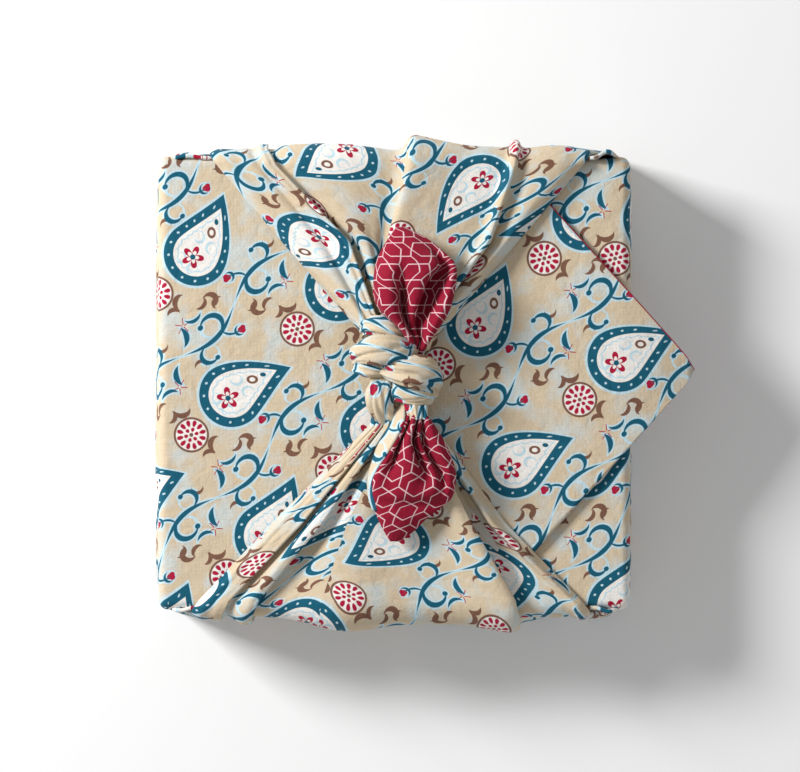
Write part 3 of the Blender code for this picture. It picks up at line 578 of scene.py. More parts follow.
def add_end(sections, seed, quarter_turn):
    table = [(y, *across, *heights) for y, across, heights in sections]
    rows = []
    for numbers in curve_through(table, END_ROWS, 0.75):
        y, across, heights = numbers[0], numbers[1:11], numbers[11:]
        line = curve_through(list(zip(across, heights)), END_COLUMNS, 0.6)
        small = [0.30 * soft_wave(x, y, seed, 5.0) + 0.12 * soft_wave(x, y, seed + 1, 2.2) for x, _ in line]
        rows.append([(x, y + KNOT_Y, z + ripple) for (x, z), ripple in zip(line, small)])
    rows = np.array(rows) * MM
    across = np.cumsum(np.linalg.norm(np.diff(rows, axis=1), axis=2), axis=1)
    across = np.hstack((np.zeros((len(rows), 1)), across))
    middle = END_COLUMNS // 2
    across = across - across[:, [middle]] + rows[0, middle, 0]
    along = np.cumsum(np.linalg.norm(np.diff(rows, axis=0), axis=2), axis=0)
    along = 0.25 + np.vstack((np.zeros((1, END_COLUMNS)), along)).mean(axis=1, keepdims=True) + 0 * across
    chart = np.stack((along, across) if quarter_turn else (across, along), axis=2)
    add_grid(rows, chart, faces_up=-1)


# One line is one section: its y, then x and z of the foot, the middle and the rim of the outer face, in mm
NEAR_END_FACE = (
    (-8.5, 2.6, 54.0, 3.2, 55.6, 4.0, 56.4),
    (-11.5, 1.0, 54.4, 2.4, 57.0, 4.2, 58.4),
    (-14.0, -0.8, 54.4, 1.2, 58.4, 4.2, 60.6),
    (-17.5, -2.6, 54.4, -0.2, 59.0, 3.6, 62.2),
    (-22.0, -4.6, 54.6, -2.6, 58.6, 1.4, 62.6),
    (-26.8, -7.0, 54.8, -5.4, 58.2, -1.4, 62.4),
    (-31.0, -8.2, 54.8, -7.0, 57.6, -4.0, 61.4),
    (-35.0, -9.6, 54.8, -8.9, 56.6, -6.8, 60.4),
    (-40.0, -10.5, 54.6, -10.2, 56.0, -8.8, 58.6),
    (-46.0, -10.4, 54.2, -10.0, 55.6, -8.4, 58.0),
    (-52.0, -8.4, 53.8, -8.1, 54.8, -6.6, 56.6),
)


def add_end_face(table):
    """The outer face of an end's left side, with the print on it."""
    numbers = curve_through(table, 32, 0.6)
    rows = [[(x, y + KNOT_Y, z) for x, z in curve_through(((a, b), (c, d), (e, f)), 9, 0.4)]
            for y, a, b, c, d, e, f in numbers]
    rows = np.array(rows) * MM
    add_grid(rows, rows[:, :, :2] * (1.3, 1.0) + (0.02, 0.18), faces_up=1)


add_end(FAR_END, 5.0, True)
add_end(NEAR_END, 9.0, False)
add_end_face(NEAR_END_FACE)
print("faces with the ends:", len(sheet["faces"]))

# %% [markdown]
# ## One mesh with two faces
# The grids become one mesh. Points that meet are merged, so the cloth runs on from piece to piece, and Solidify
# gives it its thickness. Its second face takes the next material, which is the reverse of the cloth.


# %% Make the sheet
def make_sheet(name):
    data = bpy.data.meshes.new(name)
    data.from_pydata(sheet["points"], [], sheet["faces"])
    chart = data.uv_layers.new(name="flat cloth")
    chart.data.foreach_set("uv", np.array(sheet["charts"], np.float32).reshape(-1))
    hem = data.attributes.new("hem_mm", "FLOAT", "POINT")
    hem.data.foreach_set("value", np.array(sheet["hems"], np.float32))
    data.shade_smooth()
    made = bpy.data.objects.new(name, data)
    scene.collection.objects.link(made)
    mesh = bmesh.new()
    mesh.from_mesh(data)
    bmesh.ops.remove_doubles(mesh, verts=mesh.verts, dist=0.00001)
    mesh.to_mesh(data)
    mesh.free()
    return made


def settle(made):
    """Turns the object's modifiers into plain mesh."""
    ready = made.evaluated_get(bpy.context.evaluated_depsgraph_get())
    data = bpy.data.meshes.new_from_object(ready)
    made.modifiers.clear()
    made.data = data
    return made


cloth = make_sheet("wrapping_cloth")
thick = cloth.modifiers.new("thickness", "SOLIDIFY")
thick.thickness = SHEET
thick.offset = 0.0
thick.use_quality_normals = True
thick.material_offset = 1
thick.material_offset_rim = 0
print("triangles in the sheet:", 2 * sum(len(p.vertices) - 2 for p in cloth.data.polygons))

# %% [markdown]
# ## The knot
# The square knot is a few short bands of gathered cloth that pass over and under each other. A band is a
# path with a folded section swept along it, so it suits Geometry Nodes: the same small tree sweeps every band, and
# its named inputs set how many folds it has and how deep they are. Each path is a mesh line that carries the
# band's half width and the way that its width points.

# %% Bands of the knot
# Columns: x, y, z of the middle and half the width, in mm
BANDS = {
    "main lobe": (
        (-12.6, 7.6, 51.6, 3.2),
        (-16.0, 9.4, 56.0, 3.6),
        (-12.4, 11.6, 61.2, 4.6),
        (-5.4, 11.9, 63.4, 6.1),
        (2.0, 11.9, 62.6, 5.0),
        (7.6, 10.6, 58.8, 3.6),
        (8.0, 9.0, 53.5, 3.0),
    ),
    "left roll": (
        (-13.4, 6.8, 51.6, 2.6),
        (-14.6, 5.2, 56.2, 3.4),
        (-11.0, 4.6, 58.8, 3.9),
        (-6.6, 4.4, 58.8, 3.4),
        (-3.0, 3.4, 55.6, 2.6),
    ),
    "right wrap": (
        (-7.0, 5.6, 57.0, 2.4),
        (-2.0, 4.4, 61.2, 3.8),
        (4.2, 3.4, 63.6, 5.4),
        (10.6, 3.1, 63.0, 6.5),
        (15.4, 1.4, 58.8, 6.0),
        (15.0, -0.8, 53.0, 4.8),
        (10.0, -1.4, 50.5, 4.0),
    ),
    "lower band": (
        (-2.5, -3.2, 54.0, 3.0),
        (1.0, -4.8, 58.6, 3.6),
        (8.2, -6.1, 60.6, 4.0),
        (14.4, -5.4, 57.4, 4.0),
        (14.8, -4.4, 52.0, 3.4),
    ),
    "near strand": (
        (-4.0, 2.0, 54.0, 4.4),
        (-5.6, -3.2, 57.4, 5.2),
        (-5.8, -8.2, 57.6, 5.4),
        (-4.2, -12.6, 55.6, 4.6),
        (-2.2, -16.6, 52.8, 3.8),
    ),
    "near neck": (
        (6.5, -4.0, 55.0, 3.8),
        (8.0, -9.0, 57.8, 4.3),
        (8.8, -12.6, 59.0, 4.0),
        (9.0, -16.0, 59.6, 3.5),
    ),
    "bundle": (
        (3.0, 38.0, 47.6, 4.6),
        (3.0, 26.0, 48.0, 7.4),
        (2.6, 14.0, 48.6, 9.0),
        (1.8, 0.0, 48.6, 9.6),
        (2.2, -13.0, 48.4, 9.0),
        (2.0, -25.0, 47.8, 7.0),
        (0.0, -36.0, 47.2, 4.6),
    ),
    "far wrap": (
        (-11.2, 19.0, 50.5, 3.0),
        (-11.4, 21.0, 55.4, 3.6),
        (-6.4, 21.4, 59.0, 4.1),
        (-1.0, 18.6, 59.8, 3.8),
        (2.6, 16.4, 56.0, 3.0),
    ),
}
ALONG_Y = ("near strand", "near neck", "bundle")
# Columns: folds across, their depth in mm, the twist along the band in turns a metre, and how flat it is
FOLDING = {
    "main lobe": (1.15, 1.5, 1.5, 0.62),
    "bundle": (2.3, 1.4, 2.0, 0.60),
    "left roll": (1.1, 1.2, -4.0, 0.80),
    "right wrap": (1.5, 1.9, -3.0, 0.62),
    "lower band": (1.3, 1.3, 2.0, 0.66),
    "near strand": (1.0, 1.4, 2.5, 0.74),
    "near neck": (1.5, 1.2, 0.0, 0.62),
    "far wrap": (1.1, 1.3, 2.0, 0.74),
}
print("bands:", ", ".join(BANDS))

# %% Adding a node
def add_node(tree, kind, inputs=None, **settings):
    """Adds one node, sets its properties, and fills or links the inputs that are named."""
    made = tree.nodes.new(kind)
    for name, value in settings.items():
        setattr(made, name, value)
    for key, value in (inputs or {}).items():
        socket = made.inputs[key]
        if isinstance(value, bpy.types.NodeSocket):
            tree.links.new(value, socket)
        else:
            socket.default_value = value
    return made


# %% Formulas as nodes
SIGNS = {ast.Add: "ADD", ast.Sub: "SUBTRACT", ast.Mult: "MULTIPLY", ast.Div: "DIVIDE", ast.Pow: "POWER"}
WORDS = {
    "sqrt": "SQRT",
    "sin": "SINE",
    "cos": "COSINE",
    "abs": "ABSOLUTE",
    "min": "MINIMUM",
    "max": "MAXIMUM",
    "angle": "ARCTAN2",
    "floor": "FLOOR",
    "part": "FRACT",
    "wrap": "FLOORED_MODULO",
    "less": "LESS_THAN",
    "sign": "SIGN",
}


def formula(tree, text, **values):
    """Writes a formula in ordinary notation as Math nodes, and gives the socket that holds its result."""

    def grow(part):
        if isinstance(part, ast.Constant):
            return float(part.value)
        if isinstance(part, ast.Name):
            return values[part.id]
        if isinstance(part, ast.UnaryOp):
            kind, parts = "MULTIPLY", (ast.Constant(-1), part.operand)
        elif isinstance(part, ast.BinOp):
            kind, parts = SIGNS[type(part.op)], (part.left, part.right)
        else:
            kind, parts = WORDS[part.func.id], part.args
        inputs = {k: grow(p) for k, p in enumerate(parts)}
        return add_node(tree, "ShaderNodeMath", inputs, operation=kind).outputs[0]

    return grow(ast.parse(text).body[0].value)


# %% The tree that sweeps a band
RING = 60  # points round a band


def band_tree():
    """Sweeps an oval along a line, wide along the line's own 'wide' direction, and folds it lengthwise."""
    tree = bpy.data.node_groups.new("folded band", "GeometryNodeTree")
    tree.interface.new_socket("Geometry", in_out="INPUT", socket_type="NodeSocketGeometry")
    tree.interface.new_socket("Geometry", in_out="OUTPUT", socket_type="NodeSocketGeometry")
    for name, value in (("Folds", 2.0), ("Fold depth", 0.0015), ("Twist", 20.0), ("Seed", 0.0), ("Flatness", 0.56)):
        tree.interface.new_socket(name, in_out="INPUT", socket_type="NodeSocketFloat").default_value = value
    tree.interface.new_socket("Material", in_out="INPUT", socket_type="NodeSocketMaterial")
    given = add_node(tree, "NodeGroupInput").outputs
    line = add_node(tree, "GeometryNodeMeshToCurve", {"Mesh": given["Geometry"]}).outputs[0]
    size = add_node(tree, "GeometryNodeInputNamedAttribute", {"Name": "half_width"}, data_type="FLOAT").outputs[0]
    wide = add_node(tree, "GeometryNodeInputNamedAttribute", {"Name": "wide"}, data_type="FLOAT_VECTOR").outputs[0]
    line = add_node(tree, "GeometryNodeSetCurveNormal", {"Curve": line, "Normal": wide}, mode="FREE").outputs[0]
    length = add_node(tree, "GeometryNodeSplineParameter").outputs["Length"]
    kept = {"Geometry": line, "Name": "along", "Value": length}
    line = add_node(tree, "GeometryNodeStoreNamedAttribute", kept, data_type="FLOAT", domain="POINT").outputs[0]

    ring = add_node(tree, "GeometryNodeCurvePrimitiveCircle", {"Resolution": RING, "Radius": 1.0}).outputs[0]
    place = add_node(tree, "GeometryNodeInputPosition").outputs[0]
    parts = add_node(tree, "ShaderNodeSeparateXYZ", {0: place}).outputs
    turn = formula(tree, "angle(y, x)", x=parts[0], y=parts[1])
    kept = {"Geometry": ring, "Name": "round", "Value": turn}
    ring = add_node(tree, "GeometryNodeStoreNamedAttribute", kept, data_type="FLOAT", domain="POINT").outputs[0]
    flat = formula(tree, "y * flat", y=parts[1], flat=given["Flatness"])
    oval = add_node(tree, "ShaderNodeCombineXYZ", {0: parts[0], 1: flat, 2: 0.0}).outputs[0]
    ring = add_node(tree, "GeometryNodeSetPosition", {"Geometry": ring, "Position": oval}).outputs[0]
    sweep = {"Curve": line, "Profile Curve": ring, "Scale": size, "Fill Caps": True}
    swept = add_node(tree, "GeometryNodeCurveToMesh", sweep).outputs[0]

    turn = add_node(tree, "GeometryNodeInputNamedAttribute", {"Name": "round"}, data_type="FLOAT").outputs[0]
    along = add_node(tree, "GeometryNodeInputNamedAttribute", {"Name": "along"}, data_type="FLOAT").outputs[0]
    values = {"turn": turn, "along": along, "twist": given["Twist"], "folds": given["Folds"], "seed": given["Seed"]}
    x = formula(tree, "cos(turn + along * twist) * folds", **values)
    y = formula(tree, "sin(turn + along * twist) * folds", **values)
    z = formula(tree, "along * 45 + seed", along=along, seed=given["Seed"])
    spot = add_node(tree, "ShaderNodeCombineXYZ", {0: x, 1: y, 2: z}).outputs[0]
    long_noise = add_node(tree, "ShaderNodeTexNoise", {"Vector": spot, "Scale": 1.0, "Detail": 1.0}).outputs[0]
    rise = formula(tree, "(min(abs(n - 0.5) * 7, 1) ** 0.75 - 0.55) * depth", n=long_noise, depth=given["Fold depth"])
    normal = add_node(tree, "GeometryNodeInputNormal").outputs[0]
    offset = add_node(tree, "ShaderNodeVectorMath", {0: normal, "Scale": rise}, operation="SCALE").outputs[0]
    folded = add_node(tree, "GeometryNodeSetPosition", {"Geometry": swept, "Offset": offset}).outputs[0]
    whole = add_node(tree, "GeometryNodeRealizeInstances", {0: folded}).outputs[0]
    done = add_node(tree, "GeometryNodeSetMaterial", {"Geometry": whole, "Material": given["Material"]}).outputs[0]
    add_node(tree, "NodeGroupOutput", {0: done})
    return tree


BAND_TREE = band_tree()
print("nodes that sweep a band:", len(BAND_TREE.nodes))

# %% Sweep the bands
def band_line(name, table):
    """A mesh line along the band's middle, with its half width and the way that its width points."""
    steps = curve_through(table, 8 * (len(table) - 1), 0.3)
    points = (steps[:, :3] + (0, KNOT_Y, 0)) * MM
    data = bpy.data.meshes.new(name)
    data.from_pydata(points.tolist(), [(k, k + 1) for k in range(len(points) - 1)], [])
    runs = np.gradient(points, axis=0)
    runs /= np.linalg.norm(runs, axis=1, keepdims=True)
    level = np.array((1.0, 0, 0) if name in ALONG_Y else (0, 1.0, 0))
    wide = level - runs * (runs @ level)[:, None]
    wide /= np.linalg.norm(wide, axis=1, keepdims=True)
    data.attributes.new("half_width", "FLOAT", "POINT").data.foreach_set("value", steps[:, 3] * MM)
    data.attributes.new("wide", "FLOAT_VECTOR", "POINT").data.foreach_set("vector", wide.reshape(-1))
    made = bpy.data.objects.new(name.replace(" ", "_"), data)
    scene.collection.objects.link(made)
    return made


def sweep_band(name, table, seed):
    made = band_line(name, table)
    sweep = made.modifiers.new("sweep", "NODES")
    sweep.node_group = BAND_TREE
    inputs = {i.name: i.identifier for i in BAND_TREE.interface.items_tree if i.in_out == "INPUT"}
    folds, depth, turns, flatness = FOLDING[name]
    values = {"Folds": folds, "Fold depth": depth * MM, "Twist": turns * 2 * math.pi,
              "Flatness": flatness, "Seed": seed}
    for given, value in values.items():
        sweep[inputs[given]] = value
    return settle(made)


bands = [sweep_band(name, table, 1.7 * k) for k, (name, table) in enumerate(BANDS.items())]
print("triangles in the bands:", sum(len(p.vertices) - 2 for b in bands for p in b.data.polygons))

# %% [markdown]
# ## The print
# The face of the cloth is a cotton print: teal paisleys, round blossoms, buds and scrolling vines on a beige
# ground, each teal stroke with a pale-blue halo, as a screen print has where one ink is laid wider than the next.
# An image would be the short way. Here every motif is a distance in millimetres to a simple curve, worked out by
# Math nodes from the flat-cloth UV map: less than zero is inked. The motifs and their layout are this lesson's
# own, of plain traditional kinds, and a half-drop repeat with every second column mirrored spreads them.

# %% Inks
def ink(code):
    """A colour of sRGB hex digits, turned to linear."""
    parts = [int(code[k : k + 2], 16) / 255 for k in (0, 2, 4)]
    return (*[p / 12.92 if p <= 0.04045 else ((p + 0.055) / 1.055) ** 2.4 for p in parts], 1.0)


INKS = {
    "ground": ink("D6C3A6"),
    "ground bloom": ink("CFD3CE"),
    "pale blue": ink("C3DEE8"),
    "ivory": ink("F3EEE8"),
    "teal": ink("075A72"),
    "crimson": ink("AE0C37"),
    "brown": ink("7C5745"),
    "lattice": ink("F6D9DC"),
    "deep crimson": ink("92062B"),
}
COLUMN, DROP = 50.0, 60.0  # the repeat, in mm
print("inks:", ", ".join(INKS))


# %% Motif distances
def compass(degrees):
    return (math.cos(math.radians(degrees)), math.sin(math.radians(degrees)), 0.0)


def apart(tree, place, centre):
    """The way from a centre to this place, and its length."""
    way = add_node(tree, "ShaderNodeVectorMath", {0: place, 1: (*centre, 0.0)}, operation="SUBTRACT").outputs[0]
    return way, add_node(tree, "ShaderNodeVectorMath", {0: way}, operation="LENGTH").outputs["Value"]


def brush(tree, place, centre, radius, middle, half, width):
    """A stroke on part of a circle, widest at its middle angle and drawn out to nothing at both ends."""
    way, far = apart(tree, place, centre)
    along = add_node(tree, "ShaderNodeVectorMath", {0: way, 1: compass(middle)}, operation="DOT_PRODUCT")
    k = 1 - math.cos(math.radians(half))
    text = "abs(far - radius) - width * along / far + rest"
    rest = width / k - width
    values = {"far": far, "radius": radius, "width": width / k, "along": along.outputs["Value"], "rest": rest}
    return formula(tree, text, **values)


def ball(tree, place, centre, radius):
    return formula(tree, "far - radius", far=apart(tree, place, centre)[1], radius=radius)


def turned(tree, way):
    parts = add_node(tree, "ShaderNodeSeparateXYZ", {0: way}).outputs
    return formula(tree, "angle(y, x)", x=parts[0], y=parts[1])


def petals(tree, place, centre, radius, count, waist):
    """A flower outline that narrows between its petals."""
    way, far = apart(tree, place, centre)
    text = "far - radius * (waist + rest * abs(cos(turn * half)))"
    values = {"radius": radius, "waist": waist, "rest": 1 - waist, "half": count / 2}
    return formula(tree, text, far=far, turn=turned(tree, way), **values)


def seeds(tree, place, centre, radius, count, length, width):
    """Oval dots in a ring."""
    way, far = apart(tree, place, centre)
    share = formula(tree, "part(turn * count + 0.5) - 0.5", turn=turned(tree, way), count=count / (2 * math.pi))
    values = {"turn": share, "far": far, "radius": radius, "length": length,
              "step": 2 * math.pi * radius / count / width}
    return formula(tree, "(sqrt(((far - radius) / length) ** 2 + (turn * step) ** 2) - 1) * 0.8", **values)


def paint(tree, under, colour, distance, edge=0.22):
    """Lays an ink where the distance is below zero, over an edge of this many mm."""
    share = formula(tree, "0.5 - d / edge", d=distance, edge=edge)
    colour = INKS[colour] if isinstance(colour, str) else colour
    return add_node(tree, "ShaderNodeMix", {0: share, 6: under, 7: colour}, data_type="RGBA").outputs[2]


def nearest(tree, distances):
    joined = distances[0]
    for other in distances[1:]:
        joined = formula(tree, "min(a, b)", a=joined, b=other)
    return joined


print("a paisley leans by", round(0.019 * 19**2, 1), "mm at its tip")


# %% The two repeats of the print
def flat_place(tree):
    """The place on the flat cloth in mm, turned so that the print runs square with the hems."""
    flat = add_node(tree, "ShaderNodeUVMap", uv_map="flat cloth").outputs[0]
    turned_by = (0, 0, math.radians(45))
    mapped = {"Vector": flat, "Rotation": turned_by, "Scale": (1000, 1000, 1000), "Location": (7.0, 12.0, 0)}
    return add_node(tree, "ShaderNodeMapping", mapped).outputs[0]


def motif_place(tree, x, y):
    """Place in a column of motifs: half-dropped and mirrored in every second column."""
    column = formula(tree, "floor(x / wide)", x=x, wide=COLUMN)
    odd = formula(tree, "wrap(c, 2)", c=column)
    across = formula(tree, "(x - (c + 0.5) * wide) * (1 - 2 * odd)", x=x, c=column, wide=COLUMN, odd=odd)
    down = formula(tree, "wrap(y + half * odd + half, drop) - half", y=y, odd=odd, half=DROP / 2, drop=DROP)
    return across, down


def vine_place(tree, x, y):
    """Place beside the line between two columns, folded so that each half repeats the other, turned by a half turn."""
    line = formula(tree, "floor(x / wide + 0.5)", x=x, wide=COLUMN)
    odd = formula(tree, "wrap(c, 2)", c=line)
    down = formula(tree, "wrap(y + half * odd + half, drop) - half", y=y, odd=odd, half=DROP / 2, drop=DROP)
    side = formula(tree, "sign(y)", y=down)
    across = formula(tree, "(x - c * wide) * side * 0.98", x=x, c=line, wide=COLUMN, side=side)
    return across, formula(tree, "abs(y) * 0.8333", y=down)


def joined_place(tree, x, y):
    return add_node(tree, "ShaderNodeCombineXYZ", {0: x, 1: y, 2: 0.0}).outputs[0]


# %% [markdown]
# The paisley is a drop whose tip is bent to one side: a circle below, a narrowing width above, and a shift that
# grows with the square of the height. Its border, its dots and its scalloped line all come from that one distance.


# %% Paisley and blossom
def paisley(tree, x, y):
    up = formula(tree, "max(y - 3.4, 0)", y=y)
    bent = formula(tree, "x - 0.015 * up * up", x=x, up=up)
    text = "sqrt(x * x + min(y - 3.4, 0) ** 2) - 13 * max(1 - (up / 24.5) ** 1.6, 0) + max(up - 24.5, 0)"
    outline = formula(tree, text, x=bent, y=y, up=up)
    return joined_place(tree, bent, formula(tree, "y - 3.4", y=y)), outline


def paint_paisley(tree, under, x, y):
    inside, outline = paisley(tree, x, y)
    way, far = apart(tree, inside, (0, 3))
    turn = turned(tree, way)
    mirrored = add_node(tree, "ShaderNodeVectorMath", {0: inside}, operation="ABSOLUTE").outputs[0]
    colour = paint(tree, under, "pale blue", formula(tree, "d - 1", d=outline))
    colour = paint(tree, colour, "teal", outline)
    dots = formula(
        tree,
        "sqrt((d + 1.9) ** 2 + ((part(turn * 2.546) - 0.5) * far * 0.39) ** 2) - 0.5",
        d=outline,
        turn=turn,
        far=far,
    )
    colour = paint(tree, colour, "pale blue", dots)
    colour = paint(tree, colour, "ivory", formula(tree, "d + 3.8", d=outline))
    scallop = formula(tree, "abs(d + 5.2 + 0.7 * abs(sin(turn * 8))) - 0.32", d=outline, turn=turn)
    colour = paint(tree, colour, "pale blue", scallop)
    colour = paint(tree, colour, "pale blue", brush(tree, mirrored, (3.4, 5.6), 2.1, 190, 150, 0.6))
    colour = paint(tree, colour, "crimson", petals(tree, inside, (0, -2.0), 4.6, 5, 0.3))
    colour = paint(tree, colour, "ivory", petals(tree, inside, (0, -2.0), 2.6, 5, 0.3))
    colour = paint(tree, colour, "teal", ball(tree, inside, (0, -2.0), 1.1))
    colour = paint(tree, colour, "brown", ball(tree, inside, (0, 10.2), 2.0))
    colour = paint(tree, colour, "ivory", ball(tree, inside, (0, 10.2), 1.0))
    return paint(tree, colour, "teal", ball(tree, inside, (0, 14.6), 1.0))


def paint_blossom(tree, under, x, y):
    place = joined_place(tree, x, y)
    middle = (0.0, -19.4)
    sides = joined_place(tree, formula(tree, "abs(x)", x=x), y)
    colour = paint(tree, under, "brown", brush(tree, sides, (10.4, -14.4), 3.3, 215, 80, 1.1))
    colour = paint(tree, colour, "brown", brush(tree, sides, (11.6, -20.6), 2.6, 150, 75, 0.9))
    colour = paint(tree, colour, "brown", ball(tree, place, middle, 7.1))
    colour = paint(tree, colour, "ivory", ball(tree, place, middle, 6.2))
    colour = paint(tree, colour, "crimson", seeds(tree, place, middle, 4.6, 12, 1.35, 0.80))
    colour = paint(tree, colour, "crimson", seeds(tree, place, middle, 2.1, 6, 0.85, 0.70))
    return paint(tree, colour, "brown", ball(tree, place, middle, 0.8))


# %% Vines, buds and sprigs
TEAL_STROKES = (  # centre, radius, middle angle, half angle, width
    ((0.0, 14.2), 4.0, 115, 135, 0.95),
    ((7.3, 7.4), 3.2, 280, 115, 0.85),
    ((-6.6, 1.4), 5.2, 62, 46, 1.0),
    ((4.0, 20.6), 5.0, -48, 50, 0.42),
    ((8.9, 20.4), 1.9, 262, 95, 0.50),
    ((-9.5, 12.6), 3.4, -20, 62, 0.7),
)
TEAL_BALLS = (((-2.6, 11.2), 1.0), ((10.3, 8.4), 0.9))
BROWN_STROKES = (
    ((-7.6, 19.4), 2.7, 95, 105, 1.0),
    ((-4.4, 21.6), 2.2, 205, 85, 0.7),
    ((-10.2, 16.8), 2.3, 15, 80, 0.8),
    ((8.2, 2.2), 2.0, 140, 100, 0.7),
)


def paint_vine(tree, under, x, y):
    place = joined_place(tree, x, y)
    swing = formula(tree, "sin(y * 0.125664)", y=y)
    vine = formula(tree, "abs(x - 4.5 * swing) * 0.9 - 0.95 * swing + 0.12", x=x, swing=swing)
    teal = [vine] + [brush(tree, place, *stroke) for stroke in TEAL_STROKES]
    teal += [ball(tree, place, *spot) for spot in TEAL_BALLS]
    strokes = nearest(tree, teal)
    brown = nearest(tree, [brush(tree, place, *stroke) for stroke in BROWN_STROKES])
    way, far = apart(tree, place, (-8.0, 7.6))
    spokes = "max(abs(sin(turn * 2.5)) * far * 0.8 - 0.32, abs(far - 1.7) - 1.2)"
    colour = paint(tree, under, "pale blue", formula(tree, "d - 0.62", d=strokes))
    colour = paint(tree, colour, "brown", brown)
    colour = paint(tree, colour, "crimson", formula(tree, spokes, turn=turned(tree, way), far=far))
    colour = paint(tree, colour, "crimson", petals(tree, place, (9.2, 20.8), 1.6, 3, 0.72))
    return paint(tree, colour, "teal", strokes)


print("strokes beside each column:", len(TEAL_STROKES) + len(BROWN_STROKES))

# %% [markdown]
# ## Cotton
# Both faces are plain-woven cotton, printed and washed: matt, with a little fuzz that lights up at a low angle.
# Its threads are about 0.35 mm apart. That is finer than a pixel here, so the weave is drawn at 0.8 mm. Slight
# creases and a mottled ground come from noise on the flat cloth, so they run with the folds.


# %% Cotton finish
def cotton(name, colour_of):
    """A cotton material whose colour is made by the given function from the tree and the place in mm."""
    made = bpy.data.materials.new(name)
    made.use_nodes = True
    tree = made.node_tree
    shader = tree.nodes["Principled BSDF"]
    shader.inputs["Roughness"].default_value = 0.86
    shader.inputs["Specular IOR Level"].default_value = 0.28
    shader.inputs["Sheen Weight"].default_value = 0.06
    shader.inputs["Sheen Roughness"].default_value = 0.5
    place = flat_place(tree)
    parts = add_node(tree, "ShaderNodeSeparateXYZ", {0: place}).outputs
    colour = colour_of(tree, place, parts[0], parts[1])
    slub = add_node(tree, "ShaderNodeTexNoise", {"Vector": place, "Scale": 1.3, "Detail": 3.0}).outputs[0]
    weave = formula(tree, "sin(x * 7.85) * sin(y * 7.85)", x=parts[0], y=parts[1])
    tone = formula(tree, "0.83 + 0.28 * n + 0.07 * w", n=slub, w=weave)
    shade = add_node(tree, "ShaderNodeVectorMath", {0: colour, "Scale": tone}, operation="SCALE").outputs[0]
    tree.links.new(shade, shader.inputs["Base Color"])
    creases = add_node(tree, "ShaderNodeTexNoise", {"Vector": place, "Scale": 0.11, "Detail": 3.0}).outputs[0]
    height = formula(tree, "0.035 * w + 0.14 * n + 1.9 * abs(c - 0.5)", w=weave, n=slub, c=creases)
    bump = add_node(tree, "ShaderNodeBump", {"Height": height, "Strength": 0.6, "Distance": 0.001}).outputs[0]
    tree.links.new(bump, shader.inputs["Normal"])
    return made


def print_colour(tree, place, x, y):
    hem = add_node(tree, "ShaderNodeAttribute", attribute_name="hem_mm").outputs["Fac"]
    mottle = add_node(tree, "ShaderNodeTexNoise", {"Vector": place, "Scale": 0.075, "Detail": 5.0}).outputs[0]
    ground = add_node(tree, "ShaderNodeRGB").outputs[0]
    ground.default_value = INKS["ground"]
    colour = paint(tree, ground, "ground bloom", formula(tree, "0.56 - n", n=mottle), 0.18)
    colour = paint_vine(tree, colour, *vine_place(tree, x, y))
    place_x, place_y = motif_place(tree, x, y)
    colour = paint_blossom(tree, colour, place_x, place_y)
    colour = paint_paisley(tree, colour, place_x, place_y)
    return paint(tree, colour, "crimson", formula(tree, "h - 0.45", h=hem))


PRINT = cotton("printed cotton", print_colour)
print("nodes in the print:", len(PRINT.node_tree.nodes))

# %% [markdown]
# ## The crimson reverse
# The reverse shows on the two free ends: crimson with a near-white lattice, of the old tortoiseshell kind. Small
# hexagons stand in rows, and each of their sides runs on past one corner to meet the next hexagon's. All these
# sides lie on three families of parallel lines, so one formula for a dashed line, turned three times, draws them.

# %% Lattice
HEXAGON = 4.0  # from a hexagon's middle to its corner, in mm
LINE = 0.17  # half the width of a line


def lattice_lines(tree, place, degrees):
    """Distance to the dashes that run one way."""
    ahead = add_node(tree, "ShaderNodeVectorMath", {0: place, 1: compass(degrees)}, operation="DOT_PRODUCT")
    beside = add_node(tree, "ShaderNodeVectorMath", {0: place, 1: compass(degrees + 90)}, operation="DOT_PRODUCT")
    side = HEXAGON * math.sqrt(3) / 2
    row = formula(tree, "floor(u / step + 0.5)", u=ahead.outputs["Value"], step=3 * side)
    off = formula(tree, "abs(abs(u - row * step) - side)", u=ahead.outputs["Value"], row=row, step=3 * side, side=side)
    text = "abs(wrap(v - wrap(row, 2) * 1.5 * r + r / 2, 3 * r) - r) - r"
    past = formula(tree, text, v=beside.outputs["Value"], row=row, r=HEXAGON)
    return formula(tree, "max(off, past) - line", off=off, past=past, line=LINE)


def lattice_colour(tree, place, x, y):
    upright = add_node(tree, "ShaderNodeMapping", {"Vector": place, "Rotation": (0, 0, math.radians(-45))}).outputs[0]
    lines = nearest(tree, [lattice_lines(tree, upright, degrees) for degrees in (0, 120, 240)])
    cloth_colour = add_node(tree, "ShaderNodeRGB").outputs[0]
    cloth_colour.default_value = INKS["deep crimson"]
    return paint(tree, cloth_colour, "lattice", lines, 0.3)


REVERSE_FINISH = cotton("crimson cotton", lattice_colour)
print("nodes in the lattice:", len(REVERSE_FINISH.node_tree.nodes))

# %% [markdown]
# ## The box
# The gift box is greyboard wrapped in plain paper. It hardly shows, so its finish is only the fine speckle of
# the pulp and the faint unevenness of pressed paper.

